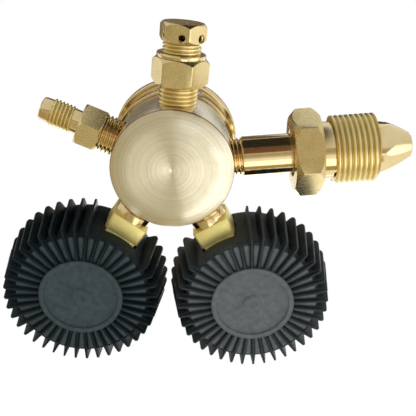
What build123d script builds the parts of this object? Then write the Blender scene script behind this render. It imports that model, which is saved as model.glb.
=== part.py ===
"""Single-stage gas pressure regulator with two gauges, as separate pieces.

Millimetres. Pieces are drawn about the body's own axis: the turned back face lies at depth 0, depth
grows along +Z towards the handle, +X runs along the inlet and +Y points up between the gauges.
Every port leaves the side of the body at one depth. A fitting is drawn along its own +Z, counted from
the body's axis. A gauge is drawn about the middle of its dial, with its stem along -Y.
At the end each piece is turned into the row frame: +Z up, +X along the inlet, -Y towards the dials
and the handle, origin in the middle of the inlet nut's thread.
"""

import os
from math import asin, cos, degrees, hypot, pi, radians, sin

from build123d import *

# Fits
thread_gap = 0.05       # radial room in a screwed or pushed-in fit
running_gap = 0.06      # radial room round a piece that turns or slides
contact_gap = 0.05      # room between faces that meet in use and move apart
seat_gap = 0.02         # room between faces that stay together

# Body
body_radius = 21.5
body_depth = 22.6       # back face to the shoulder behind the bonnet
back_edge = 0.5         # chamfer round the back face
port_depth = 9.8
spigot_radius = body_radius - 2.9   # threaded neck that carries the bonnet
spigot_length = 7.4
chamber_radius = spigot_radius - 4.1   # low-pressure chamber under the diaphragm
chamber_floor = 20.0
valve_bore_radius = 5.0
valve_bore_floor = 4.0
port_floor = body_radius - 8.0      # body axis to the end of a port's bore
inlet_drill = 2.2
gauge_drill = 1.2
chamber_drill = 1.2
chamber_drill_inset = 0.4   # chamber drilling inside the end of a port's bore

# Port directions round the body, counted from the inlet towards the top
inlet_angle = 0
high_gauge_angle = 64.5
low_gauge_angle = 130
outlet_angle = 208
relief_angle = 279.5

# Tapered port threads, drawn straight
stub_radius = 6.6
stub_pitch = 1.41
stub_end_room = 1.0     # stub's inner end to the floor of its bore
thread_depth_share = 0.5
thread_edge_share = 0.12
thread_crest_share = 0.24

# Hexagons with turned-off corners
hex_face_share = 0.98   # turned end face to the size across flats
hex_corner_lean = 0.55  # run of the turned corner along the bar to its drop

# Valve
nozzle_radius = 5.6
nozzle_base = 14.0      # depth where the nozzle's thread starts
nozzle_across = 10.0
nozzle_head = 2.5
nozzle_bore = 1.6
nozzle_lip_radius = 2.4
nozzle_lip_height = 1.1
nozzle_seal_wire = 0.5
plug_radius = 4.1
plug_flats = 6.6
plug_length = 3.4
plug_boss_radius = 1.7
plug_boss_length = 2.0
insert_radius = 3.2
insert_thickness = 1.3
insert_sunk = 0.9
pin_radius = 0.9
pin_sunk = 2.0
valve_spring_wire = 0.55
valve_spring_turns = 3.5

# Diaphragm and what it carries
diaphragm_radius = spigot_radius - 0.3
diaphragm_thickness = 1.0
convolution_radius = 12.9
convolution_size = 1.1
lower_plate_radius = 9.0
lower_plate_thickness = 1.4
rivet_radius = 2.0
rivet_head_radius = 4.0
rivet_head = 1.2
upper_plate_radius = 11.0
upper_plate_thickness = 2.0
rivet_nut_across = 7.0
rivet_nut_height = 2.5
slip_ring_inner = spigot_radius - 3.8
slip_ring_thickness = 0.8

# Bonnet
bonnet_skirt_radius = body_radius + 1.1
skirt_gap = 0.6         # body's shoulder to the skirt
skirt_end = 33.6
bonnet_groove = 0.6
bonnet_groove_depth = 0.8
flange_radius = bonnet_skirt_radius + 1.4
flange_thickness = 3.2
flange_round = 0.8
barrel_radius = 15.5
barrel_start = 45.0
barrel_end = 66.0
barrel_bore = 12.2
barrel_roof = 4.0
barrel_edge = 1.5
barrel_flare = 2.5      # foot of the barrel beyond its radius
neck_radius = 9.0
neck_length = 6.0
neck_edge = 0.8
bonnet_flat = 28.0      # across the two spanner flats on the barrel
bonnet_flat_length = 9.0
vent_radius = 1.2
bonnet_vent_height = 4.0    # above the start of the barrel

# Pressure spring, button, screw and handle
main_wire = 2.4
main_spring_radius = 8.6
main_spring_length = 19.0
main_spring_turns = 5.5
button_radius = 11.6
button_thickness = 4.0
button_boss_radius = 6.6
button_boss_height = 2.5
screw_radius = 5.0
screw_pitch = 1.5
screw_tip_radius = 3.8
screw_relief = 0.8      # plain part at each end of the thread
tip_edge = 0.6
screw_dimple = 1.5      # depth of the screw's tip in the button
screw_length = 30.0     # tip to the underside of the hub
hub_radius = 7.0
hub_length = 9.0
hub_edge = 0.8
bar_radius = 3.0
bar_length = 40.0
bar_end = 1.2           # chamfer at the bar's ends
bar_turn = 10.0         # bar's rest angle about the screw

# Inlet nipple and nut
tube_start = body_radius + 3.2
tube_radius = 7.05
tube_edge = 0.3
nut_start = tube_start + 17.7
nut_across = 27.0
nut_hex_length = 9.9
nut_corner = 1.73       # how far the nut's corners are turned off, against a usual hexagon
nut_mouth_radius = 8.4
nut_mouth_depth = 1.2
nut_turn = -20.7
shank_radius = 10.2
shank_length = 4.2
inlet_thread_radius = 12.25
inlet_thread_pitch = 1.814
inlet_thread_length = 14.8
collar_sunk = 4.0       # start of the nut's thread to the step that the collar bears on
collar_radius = 9.4
collar_gap = 0.3
collar_room = 0.2
nose_reach = 13.1       # end of the nut's thread to the tip of the nose
nose_taper = 11.5
nose_bulge = 1.45       # 1 would make the nose a straight cone
nose_end_radius = 4.9
nose_end_round = 0.9
nose_flats = 16.6
nose_flats_sunk = 1.6   # flats start this far before the taper
nose_turn = -34.0
nose_bore = 1.6
nose_bore_edge = 0.6
nipple_bore = 3.4
filter_length = 9.0
filter_sunk = 7.4       # tip of the nose to the filter

# Outlet adapter
outlet_hex_start = body_radius + 5.6
outlet_hex_length = 8.0
outlet_across = 14.0
outlet_turn = 48.5
outlet_corner = 1.64
outlet_neck_radius = 4.2
outlet_neck_length = 2.6
flare_thread_radius = 4.76
flare_thread_pitch = 1.27
flare_thread_length = 7.7
flare_nose_radius = 4.1
flare_tip_radius = 3.5
flare_nose_length = 3.6
flare_nose_edge = 0.3   # straight part before the nose narrows
flare_bore = 1.5
outlet_bore = 2.4

# Relief valve
relief_hex_start = body_radius + 6.5
relief_hex_length = 8.9
relief_across = 17.0
relief_corner = 1.64
relief_turn = -6.0
relief_bore = 2.0
relief_seat_height = relief_hex_start + 0.4
relief_seat_lip = 0.5
relief_seat_width = 0.6
relief_well_radius = 4.6
ring_radius = 8.3
ring_thickness = 1.5
ring_edge = 0.3
relief_thread_radius = 6.5
relief_thread_pitch = 1.2
relief_neck = 3.7       # thread seen between the ring and the cap's hexagon
cap_across = 14.0
cap_corner = 1.64
cap_length = 6.1
cap_turn = -14.0
cap_tail = 6.0          # length of the cap's thread inside the body
cap_bore = 4.6
cap_roof = 2.0
vent_height = 1.75
vent_turn = 12.0        # vents past the middle of the cap's flats
cap_vent_radius = 1.05
cap_vent_sink = 1.45
disc_radius = 4.1
disc_thickness = 1.6
disc_boss_radius = 1.9
disc_boss_height = 1.6
disc_rim_gap = 0.2
relief_seal_radius = 3.0
relief_seal_thickness = 1.0
relief_wire = 0.7
relief_spring_turns = 6.5

# Gauges. The case sets the size of everything in and round it.
case_radius = 24.4
case_wall = 0.8
case_back = 12.8
case_front = 6.1
case_slot_gap = 0.15    # case clear of the socket that passes through it
bezel_radius = case_radius + 0.8
bezel_front = 9.1
bezel_skirt = 3.2
bezel_edge = 0.5
bezel_opening = case_radius - 2.3
bezel_room = 0.3        # socket clear of the bezel
window_radius = case_radius - 0.2
window_thickness = 1.6
fin_tip_radius = case_radius + 6.6
boot_room = 0.7         # fins clear of the plane midway between the gauges
gauge_reach = (fin_tip_radius + boot_room) / sin(radians(low_gauge_angle - high_gauge_angle) / 2)

# Gauge socket
socket_collar_start = body_radius + 1.7
socket_collar_radius = 6.8
socket_collar_edge = 0.6
socket_square_start = socket_collar_start + 3.2
socket_square = 14.0
socket_edge = 1.0
socket_bore = 1.5
socket_tail_width = 10.0
socket_tail_back = 8.0
socket_tail_top = 8.2   # tail's end below the middle of the dial

# Bourdon tube
tube_circle = case_radius - 6.8
tube_width = 7.0
tube_thickness = 2.2
tube_wall = 0.35
tube_middle = -4.2
tube_root_angle = 240
tube_sweep = 268
tip_length_angle = 7
tip_cap_margin = 0.3
tip_pin_reach = tube_circle - 2.8     # middle of the dial to the pin that carries the link
tip_pin_angle = -31.0
tip_ear_radius = 1.3
tip_ear_thickness = 0.7
root_pad_reach = 10.8   # side pad that the Bourdon tube is soldered into
root_pad_drop = tube_circle + 2.4
root_pad_rise = tube_circle - 4.6

# Movement
gear_module = 0.3
pinion_teeth = 10
sector_teeth = 70       # teeth on the full circle that the sector is cut from
sector_cut_teeth = 11
tooth_share = 0.36      # tooth thickness at the pitch circle, as a share of the tooth pitch
plate_thickness = 0.8
plate_room = 3.2        # between the two plates
plate_margin = 1.7
lower_plate_face = -3.4
pillar_radius = 1.1
pillar_side = 4.6
pillar_drop = case_radius - 7.4
pillar_rise = 5.12
sector_thickness = 0.8
sector_height = 0.8     # above the lower plate
arbor_radius = 0.6
sector_arbor_radius = 0.8
link_arm = 5.0
link_rest_angle = -20.0
link_thickness = 0.5
link_width = 1.2
link_eye_radius = 1.0
link_pin_radius = 0.45
link_layer_gap = 0.1
hairspring_inner = 1.0
hairspring_pitch = 0.9
hairspring_turns = 3.25
hairspring_strip = 0.14
hairspring_height = 0.5
dial_radius = case_radius - 2.1
dial_room = 0.5
dial_thickness = 0.5
dial_height = 2.2
pointer_length = dial_radius - 4.8
pointer_tail = 7.0
pointer_width = 1.5
pointer_thickness = 0.4
pointer_hub_radius = 2.2
pointer_lift = 0.9      # hub's underside above the dial
pointer_rest_angle = 225
screw_head_radius = 1.25
screw_head_height = 0.6
screw_shank_radius = 0.6
movement_screw_side = 2.2
movement_screw_drop = 15.0
case_screw_side = 3.2
case_screw_drop = case_radius - 6.0
case_screw_hold = 2.3   # length screwed into the socket's tail
movement_screw_hold = 2.0
screw_slot = 0.3

# Rubber boots
boot_gap = 0.1
wall_back_radius = case_radius + 0.8
wall_front_radius = bezel_radius + 1.2
boot_back = 13.8        # back wall, behind the stem plane
boot_front = 10.9
wall_swell_height = 1.0 # wall grows from here to pass over the bezel
boot_opening = bezel_opening + 1.0
fin_count = 40
fins_left_out = 5       # positions at the stem where a fin stays on the back
fin_thickness = 1.1
fin_back = 15.4
fin_corner_radius = case_radius + 3.8
fin_tip_height = 4.1
fin_end = 8.2
ring_outer_radius = 15.4
ring_inner_radius = 13.6
ring_back = 15.5
recess_back = 14.6
nub_radius = 3.5
nub_height = 0.75
nub_dimple = 0.4
ledge_radius = case_radius - 0.6
ledge_height = 0.5
stem_room = 0.3         # stem's opening clear of the socket's square
stem_room_front = 0.8   # more at its front


# Shapes used again and again

def turned(points, angle=360):
    """Solid turned about +Z from (radius, height) points."""
    return revolve(Plane.XZ * make_face(Polyline(*points, close=True)), Axis.Z, angle)


def rod(radius, low, high):
    """Round bar along +Z between two heights."""
    return Pos(0, 0, low) * extrude(Circle(radius), high - low)


def tube(outer, inner, low, high):
    """Round tube along +Z between two heights."""
    return turned([(inner, low), (outer, low), (outer, high), (inner, high)])


def block(x, y, z):
    """Box between (low, high) pairs along each axis."""
    middle = [(pair[0] + pair[1]) / 2 for pair in (x, y, z)]
    return Pos(*middle) * Box(x[1] - x[0], y[1] - y[0], z[1] - z[0])


def prism(across, low, high, turn=0, sides=6):
    """Hexagonal or square bar along +Z with one flat facing +X, then turned."""
    outline = RegularPolygon(across / 2, sides, major_radius=False, rotation=180 / sides + turn)
    return Pos(0, 0, low) * extrude(outline, high - low)


def crowned_hexagon(across, low, high, turn=0, amount=1.0):
    """Hexagonal bar whose corners are turned off at both ends, by an amount that is 1 for a usual one."""
    corner = across / 2 / cos(pi / 6)
    face = across / 2 * hex_face_share
    drop = (corner - face) * hex_corner_lean * amount
    cone = turned([(0, low), (face, low), (corner, low + drop), (corner, high - drop), (face, high), (0, high)])
    return prism(across, low, high, turn) & cone


def thread_points(major, pitch, low, high):
    """Outline points of a thread drawn as separate ridges, from low to high."""
    root = major - thread_depth_share * pitch
    flank_end = (1 - thread_crest_share) / 2
    count = int((high - low) / pitch + 1e-6)
    first = low + (high - low - count * pitch) / 2
    points = [(root, low)]
    for n in range(count):
        base = first + n * pitch
        points.append((root, base + thread_edge_share * pitch))
        points.append((major, base + flank_end * pitch))
        points.append((major, base + (1 - flank_end) * pitch))
        points.append((root, base + (1 - thread_edge_share) * pitch))
    points.append((root, high))
    return points


def coil(radius, wire, low, high, turns):
    """Compression spring along +Z with ends cut flat."""
    pitch = (high - low - wire / 2) / turns
    path = Pos(0, 0, low - wire / 4) * Helix(pitch, pitch * (turns + 0.5), radius)
    section = Plane(path @ 0, z_dir=path % 0) * Circle(wire / 2)
    spring = sweep(section, path=path)
    reach = 2 * (radius + wire)
    return spring & block((-reach, reach), (-reach, reach), (low, high))


def around(count, shape, start=0):
    """Copies of a shape spread evenly about +Z."""
    return [Rot(0, 0, start + 360 * n / count) * shape for n in range(count)]


def port(angle):
    """Place of a fitting: its own +Z leaves the body, its +X faces the back."""
    direction = (cos(radians(angle)), sin(radians(angle)), 0)
    return Plane(origin=(0, 0, port_depth), x_dir=(0, 0, -1), z_dir=direction).location


def gauge_place(angle):
    """Place of a gauge: its own +Y leads away from the body, its +Z faces the front."""
    direction = (cos(radians(angle)), sin(radians(angle)))
    middle = (gauge_reach * direction[0], gauge_reach * direction[1], port_depth)
    return Plane(origin=middle, x_dir=(direction[1], -direction[0], 0), z_dir=(0, 0, 1)).location


# Body and bonnet

spigot_end = body_depth + spigot_length
stub_start = port_floor + stub_end_room
diaphragm_top = spigot_end + diaphragm_thickness
slip_ring_top = diaphragm_top + slip_ring_thickness


def body():
    outline = [(0, 0), (body_radius - back_edge, 0), (body_radius, back_edge), (body_radius, body_depth)]
    outline += [(spigot_radius, body_depth), (spigot_radius, spigot_end), (chamber_radius, spigot_end)]
    outline += [(chamber_radius, chamber_floor), (nozzle_radius, chamber_floor), (nozzle_radius, nozzle_base)]
    outline += [(valve_bore_radius, nozzle_base), (valve_bore_radius, valve_bore_floor), (0, valve_bore_floor)]
    shape = turned(outline)
    for angle in (inlet_angle, high_gauge_angle, low_gauge_angle, outlet_angle, relief_angle):
        shape -= port(angle) * rod(stub_radius + thread_gap, port_floor, body_radius + 1)
    shape -= port(inlet_angle) * rod(inlet_drill, 0, port_floor + 1)
    shape -= port(high_gauge_angle) * rod(gauge_drill, 0, port_floor + 1)
    for angle in (low_gauge_angle, outlet_angle, relief_angle):
        at = port_floor - chamber_drill_inset
        hole = rod(chamber_drill, port_depth, chamber_floor + 1)
        shape -= Pos(at * cos(radians(angle)), at * sin(radians(angle)), 0) * hole
    return shape


def bonnet():
    skirt_start = body_depth + skirt_gap
    flange_start = skirt_end + bonnet_groove
    flange_end = flange_start + flange_thickness
    groove_radius = bonnet_skirt_radius - bonnet_groove_depth
    shoulder = barrel_start - barrel_edge
    neck_end = barrel_end + neck_length
    outline = [(spigot_radius + thread_gap, skirt_start), (bonnet_skirt_radius, skirt_start)]
    outline += [(bonnet_skirt_radius, skirt_end), (groove_radius, skirt_end), (groove_radius, flange_start)]
    outline += [(flange_radius - flange_round, flange_start), (flange_radius, flange_start + flange_round)]
    outline += [(flange_radius, flange_end - flange_round), (flange_radius - flange_round, flange_end)]
    outline += [(barrel_radius + barrel_flare, shoulder), (barrel_radius, barrel_start)]
    outline += [(barrel_radius, barrel_end - barrel_edge), (barrel_radius - barrel_edge, barrel_end)]
    outline += [(neck_radius, barrel_end), (neck_radius, neck_end - neck_edge)]
    outline += [(neck_radius - neck_edge, neck_end), (screw_radius + running_gap, neck_end)]
    outline += [(screw_radius + running_gap, barrel_end - barrel_roof), (barrel_bore, barrel_end - barrel_roof)]
    outline += [(barrel_bore, slip_ring_top + flange_thickness), (slip_ring_inner, slip_ring_top)]
    outline += [(spigot_radius + thread_gap, slip_ring_top)]
    shape = turned(outline)
    for side in (-1, 1):
        span = sorted((side * (barrel_radius + 1), side * bonnet_flat / 2))
        shape -= block(span, (-barrel_radius, barrel_radius), (barrel_end - bonnet_flat_length, barrel_end + 1))
    vent_place = Plane(origin=(0, 0, barrel_start + bonnet_vent_height), z_dir=(0, -1, 0)).location
    return shape - vent_place * rod(vent_radius, 0, barrel_radius + 1)


# Valve in the middle of the body

nozzle_top = chamber_floor + nozzle_head
lip_face = nozzle_base - nozzle_lip_height
insert_top = lip_face - contact_gap
plug_top = insert_top - insert_thickness + insert_sunk
plug_base = plug_top - plug_length
rivet_bottom = spigot_end - lower_plate_thickness - rivet_head


def valve_nozzle():
    collar = chamber_floor + seat_gap
    outline = [(nozzle_bore, lip_face), (nozzle_lip_radius, lip_face), (nozzle_lip_radius, nozzle_base)]
    outline += [(nozzle_radius - thread_gap, nozzle_base + seat_gap), (nozzle_radius - thread_gap, chamber_floor)]
    outline += [(nozzle_bore, chamber_floor)]
    head = prism(nozzle_across, collar + 2 * nozzle_seal_wire, nozzle_top + nozzle_seal_wire)
    neck = rod(nozzle_radius - 2 * nozzle_seal_wire, chamber_floor - 1, collar + 2 * nozzle_seal_wire)
    return turned(outline) + (neck + head - rod(nozzle_bore, 0, nozzle_top + 5))


def nozzle_seal():
    ring = Torus(nozzle_radius - nozzle_seal_wire + thread_gap, nozzle_seal_wire)
    return Pos(0, 0, chamber_floor + seat_gap + nozzle_seal_wire) * ring


def valve_plug():
    shape = rod(plug_radius, plug_base, plug_top) & prism(plug_flats, plug_base, plug_top, sides=4)
    shape += rod(plug_boss_radius, plug_base - plug_boss_length, plug_base)
    shape -= rod(insert_radius + seat_gap, plug_top - insert_sunk, plug_top + 1)
    return shape - rod(pin_radius + seat_gap, plug_top - insert_sunk - pin_sunk, plug_top + 1)


def valve_seat_insert():
    return tube(insert_radius, pin_radius + seat_gap, insert_top - insert_thickness, insert_top)


def valve_pin():
    top = rivet_bottom - contact_gap
    tip = 0.3
    low = plug_top - insert_sunk - pin_sunk
    return turned([(0, low), (pin_radius, low), (pin_radius, top - tip), (pin_radius - tip, top), (0, top)])


def valve_spring():
    radius = plug_boss_radius + running_gap + valve_spring_wire
    return coil(radius, valve_spring_wire, valve_bore_floor, plug_base - seat_gap, valve_spring_turns)


# Diaphragm and the pieces riveted through it

def diaphragm():
    flat = tube(diaphragm_radius, rivet_radius + seat_gap, spigot_end, diaphragm_top)
    ridge = Pos(0, 0, diaphragm_top) * Torus(convolution_radius, convolution_size)
    hollow = Pos(0, 0, spigot_end) * Torus(convolution_radius, convolution_size - 0.3)
    above = tube(diaphragm_radius, rivet_radius + seat_gap, spigot_end, diaphragm_top + 2 * convolution_size)
    return flat + (ridge & above) - hollow


def diaphragm_washer():
    return tube(lower_plate_radius, rivet_radius + seat_gap, spigot_end - lower_plate_thickness, spigot_end)


def diaphragm_rivet():
    head_top = spigot_end - lower_plate_thickness
    shank_end = diaphragm_top + upper_plate_thickness + rivet_nut_height
    return rod(rivet_head_radius, rivet_bottom, head_top) + rod(rivet_radius, head_top, shank_end)


def diaphragm_plate():
    top = diaphragm_top + upper_plate_thickness
    inner = main_spring_radius - main_wire / 2 - 0.3
    outline = [(rivet_radius + seat_gap, diaphragm_top), (upper_plate_radius, diaphragm_top)]
    outline += [(upper_plate_radius, top)]
    outline += [(inner, top), (inner - 0.4, top + 1.2), (rivet_nut_across * 0.62, top + 1.2)]
    outline += [(rivet_nut_across * 0.62, top), (rivet_radius + seat_gap, top)]
    return turned(outline)


def diaphragm_nut():
    low = diaphragm_top + upper_plate_thickness
    nut = crowned_hexagon(rivet_nut_across, low, low + rivet_nut_height)
    return nut - rod(rivet_radius + seat_gap, low - 1, low + rivet_nut_height + 1)


def diaphragm_ring():
    return tube(diaphragm_radius, slip_ring_inner, diaphragm_top, slip_ring_top)


# Pressure spring, button, adjusting screw and handle

spring_base = diaphragm_top + upper_plate_thickness
button_face = spring_base + main_spring_length
screw_tip = button_face + button_thickness - screw_dimple
hub_base = screw_tip + screw_length


def pressure_spring():
    return coil(main_spring_radius, main_wire, spring_base, button_face - seat_gap, main_spring_turns)


def spring_button():
    top = button_face + button_thickness
    dimple_radius = screw_tip_radius + running_gap
    outline = [(0, button_face - button_boss_height), (button_boss_radius, button_face - button_boss_height)]
    outline += [(button_boss_radius, button_face), (button_radius, button_face), (button_radius, top)]
    outline += [(dimple_radius, top), (dimple_radius, top - screw_dimple), (0, top - screw_dimple)]
    return turned(outline)


def bar_place():
    """Place of the handle bar across the screw's hub."""
    direction = (cos(radians(bar_turn)), sin(radians(bar_turn)), 0)
    return Plane(origin=(0, 0, hub_base + hub_length / 2), z_dir=direction).location


def adjusting_screw():
    tip = screw_tip + contact_gap
    thread_low = button_face + button_thickness + screw_relief
    hub_end = hub_base + hub_length
    outline = [(0, tip), (screw_tip_radius - tip_edge, tip), (screw_tip_radius, tip + tip_edge)]
    outline += [(screw_tip_radius, thread_low)]
    outline += thread_points(screw_radius, screw_pitch, thread_low, hub_base - 2 * screw_relief)
    outline += [(screw_radius - screw_relief, hub_base), (hub_radius - hub_edge, hub_base)]
    outline += [(hub_radius, hub_base + hub_edge), (hub_radius, hub_end - hub_edge)]
    outline += [(hub_radius - hub_edge, hub_end), (0, hub_end)]
    return turned(outline) - bar_place() * rod(bar_radius + seat_gap, -hub_radius - 1, hub_radius + 1)


def handle_bar():
    half = bar_length / 2
    outline = [(0, -half), (bar_radius - bar_end, -half), (bar_radius, -half + bar_end)]
    outline += [(bar_radius, half - bar_end), (bar_radius - bar_end, half), (0, half)]
    return bar_place() * turned(outline)


# Inlet

nut_hex_end = nut_start + nut_hex_length
inlet_thread_start = nut_hex_end + shank_length
inlet_thread_end = inlet_thread_start + inlet_thread_length
inlet_mount = (inlet_thread_start + inlet_thread_end) / 2
collar_start = inlet_thread_start + collar_sunk
nose_tip = inlet_thread_end + nose_reach
filter_end = nose_tip - filter_sunk


def inlet_nipple():
    front = collar_start + collar_gap
    taper_start = nose_tip - nose_taper
    taper_length = nose_taper - nose_end_round
    narrowing = collar_radius - nose_end_radius
    outline = [(nipple_bore, stub_start)] + thread_points(stub_radius, stub_pitch, stub_start, tube_start)
    outline += [(tube_radius, tube_start + tube_edge), (tube_radius, front), (collar_radius, front)]
    for step in range(9):
        share = step / 8
        outline.append((collar_radius - narrowing * share ** nose_bulge, taper_start + share * taper_length))
    outline += [(nose_end_radius - nose_end_round / 2, nose_tip - nose_end_round / 3)]
    outline += [(nose_end_radius - 1.5 * nose_end_round, nose_tip), (nose_bore + nose_bore_edge, nose_tip)]
    outline += [(nose_bore, nose_tip - nose_bore_edge), (nose_bore, filter_end), (nipple_bore, filter_end)]
    flats_low = taper_start - nose_flats_sunk
    flats_high = nose_tip + 1
    off = rod(2 * collar_radius, flats_low, flats_high) - prism(nose_flats, flats_low - 1, flats_high + 1, nose_turn)
    return turned(outline) - off


def inlet_filter():
    return rod(nipple_bore - thread_gap, filter_end - filter_length, filter_end)


def inlet_nut():
    bore = tube_radius + running_gap
    hexagon = crowned_hexagon(nut_across, nut_start, nut_hex_end, nut_turn, nut_corner)
    outline = [(0, nut_hex_end - 1), (shank_radius, nut_hex_end - 1), (shank_radius, inlet_thread_start)]
    outline += thread_points(inlet_thread_radius, inlet_thread_pitch, inlet_thread_start, inlet_thread_end)
    outline += [(0, inlet_thread_end)]
    shape = hexagon + turned(outline)
    shape -= rod(bore, nut_start - 1, collar_start + 1)
    shape -= rod(collar_radius + collar_room, collar_start, inlet_thread_end + 1)
    return shape - rod(nut_mouth_radius, nut_start - 1, nut_start + nut_mouth_depth)


# Outlet

outlet_neck_start = outlet_hex_start + outlet_hex_length
flare_thread_start = outlet_neck_start + outlet_neck_length
flare_thread_end = flare_thread_start + flare_thread_length
outlet_tip = flare_thread_end + flare_nose_length


def outlet_adapter():
    hexagon = crowned_hexagon(outlet_across, outlet_hex_start, outlet_neck_start, outlet_turn, outlet_corner)
    stub = [(0, stub_start)] + thread_points(stub_radius, stub_pitch, stub_start, outlet_hex_start)
    stub += [(0, outlet_hex_start)]
    front = [(0, outlet_neck_start), (outlet_neck_radius, outlet_neck_start)]
    front += [(outlet_neck_radius, flare_thread_start)]
    front += thread_points(flare_thread_radius, flare_thread_pitch, flare_thread_start, flare_thread_end)
    front += [(flare_nose_radius, flare_thread_end), (flare_nose_radius, flare_thread_end + flare_nose_edge)]
    front += [(flare_tip_radius, outlet_tip - tip_edge)]
    front += [(flare_tip_radius - tip_edge, outlet_tip), (0, outlet_tip)]
    shape = turned(stub) + hexagon + turned(front)
    shape -= rod(outlet_bore, stub_start - 1, outlet_neck_start - 1)
    return shape - rod(flare_bore, outlet_neck_start - 2, outlet_tip + 1)


# Relief valve

relief_hex_end = relief_hex_start + relief_hex_length
ring_end = relief_hex_end + seat_gap + ring_thickness
cap_hex_start = ring_end + relief_neck
cap_end = cap_hex_start + cap_length
cap_roof_face = cap_end - cap_roof
cap_tail_end = cap_hex_start - relief_neck - cap_tail
disc_base = relief_seat_height + contact_gap
disc_top = disc_base + disc_thickness


def relief_body():
    well_floor = relief_seat_height - relief_seat_lip
    hexagon = crowned_hexagon(relief_across, relief_hex_start, relief_hex_end, relief_turn, relief_corner)
    outline = [(0, stub_start)] + thread_points(stub_radius, stub_pitch, stub_start, relief_hex_start)
    outline += [(0, relief_hex_start)]
    shape = turned(outline) + hexagon
    shape -= rod(relief_bore, stub_start - 1, relief_hex_end)
    shape -= tube(relief_well_radius, relief_bore + relief_seat_width, well_floor, relief_seat_height)
    shape -= rod(relief_well_radius, relief_seat_height, relief_hex_end + 1)
    return shape - rod(relief_thread_radius + thread_gap, cap_tail_end, relief_hex_end + 1)


def relief_ring():
    low = relief_hex_end + seat_gap
    inner = relief_thread_radius + thread_gap
    return turned([(inner, low), (ring_radius - ring_edge, low), (ring_radius, low + ring_edge),
                   (ring_radius, ring_end - ring_edge), (ring_radius - ring_edge, ring_end), (inner, ring_end)])


def relief_cap():
    tail = cap_tail_end + seat_gap
    outline = [(0, tail)] + thread_points(relief_thread_radius, relief_thread_pitch, tail, cap_hex_start)
    outline += [(0, cap_hex_start)]
    shape = turned(outline) + crowned_hexagon(cap_across, cap_hex_start, cap_end, cap_turn, cap_corner)
    shape -= rod(cap_bore, tail - 1, cap_roof_face)
    reach = cap_across / 2
    vent = rod(cap_vent_radius, 0, reach + 1)
    sink = cap_vent_sink - cap_vent_radius
    vent += turned([(0, reach - sink), (cap_vent_radius, reach - sink), (cap_vent_sink, reach),
                    (cap_vent_sink, reach + 1), (0, reach + 1)])
    height = Plane(origin=(0, 0, cap_hex_start + vent_height), x_dir=(0, 1, 0), z_dir=(1, 0, 0)).location
    for hole in around(6, height * vent, cap_turn + vent_turn):
        shape -= hole
    return shape


def relief_disc():
    sunk = disc_base + relief_seal_thickness
    rim = disc_base + disc_rim_gap
    outline = [(0, sunk), (relief_seal_radius + seat_gap, sunk)]
    outline += [(relief_seal_radius + seat_gap, rim), (disc_radius, rim), (disc_radius, disc_top)]
    outline += [(disc_boss_radius, disc_top), (disc_boss_radius, disc_top + disc_boss_height)]
    outline += [(0, disc_top + disc_boss_height)]
    return turned(outline)


def relief_seal():
    return rod(relief_seal_radius, disc_base, disc_base + relief_seal_thickness - seat_gap)


def relief_spring():
    radius = disc_boss_radius + running_gap + relief_wire / 2
    return coil(radius, relief_wire, disc_top + seat_gap, cap_roof_face - seat_gap, relief_spring_turns)


# Gauge housing, drawn about the middle of the dial

square_low = socket_square_start - gauge_reach
tail_face = lower_plate_face
tail_top = -socket_tail_top


def oval_section(grow):
    """Bourdon tube's section on the plane through the gauge's axis, made larger by grow on every side."""
    outline = RectangleRounded(tube_thickness + 2 * grow, tube_width + 2 * grow, (tube_thickness + 2 * grow) * 0.45)
    return Plane.XZ * Pos(tube_circle, tube_middle) * outline


def tube_run(grow, start, sweep_angle):
    """Curved bar that follows the Bourdon tube clockwise from a start angle."""
    return Rot(0, 0, start - sweep_angle) * revolve(oval_section(grow), Axis.Z, sweep_angle)


def gauge_socket():
    stub_low = stub_start - gauge_reach
    collar_low = socket_collar_start - gauge_reach
    thread = [(0, stub_low)] + thread_points(stub_radius, stub_pitch, stub_low, collar_low)
    thread += [(socket_collar_radius - socket_collar_edge, collar_low)]
    thread += [(socket_collar_radius, collar_low + socket_collar_edge), (socket_collar_radius, square_low)]
    thread += [(0, square_low)]
    upright = Plane(origin=(0, 0, 0), x_dir=(1, 0, 0), z_dir=(0, 1, 0)).location
    half = socket_square / 2
    side = socket_tail_width / 2
    square_end = -bezel_radius - bezel_room
    bar = prism(socket_square, square_low, square_end, sides=4)
    bar = chamfer(bar.edges().filter_by(Axis.Z), socket_edge)
    shape = upright * (turned(thread) + bar)
    waist = (square_end - 0.1, -dial_radius - dial_room)
    shape += block((-half + socket_edge, half - socket_edge), waist, (-half, bezel_skirt - bezel_room))
    shape += block((-side, side), (waist[1] - 0.1, tail_top), (-socket_tail_back, tail_face))
    shape += block((-root_pad_reach, side), (-root_pad_drop, -root_pad_rise), (-socket_tail_back, tail_face))
    shape -= tube_run(seat_gap, tube_root_angle, tube_sweep)
    bore = rod(socket_bore, stub_low - 1, -movement_screw_drop - 2 * screw_shank_radius)
    shape -= upright * bore
    for x in (-1, 1):
        case_hole = rod(screw_shank_radius, -socket_tail_back - 1, -socket_tail_back + case_screw_hold + 0.2)
        movement_hole = rod(screw_shank_radius, tail_face - movement_screw_hold - 0.2, tail_face + 1)
        shape -= Pos(x * case_screw_side, -case_screw_drop, 0) * case_hole
        shape -= Pos(x * movement_screw_side, -movement_screw_drop, 0) * movement_hole
    return shape


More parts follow.
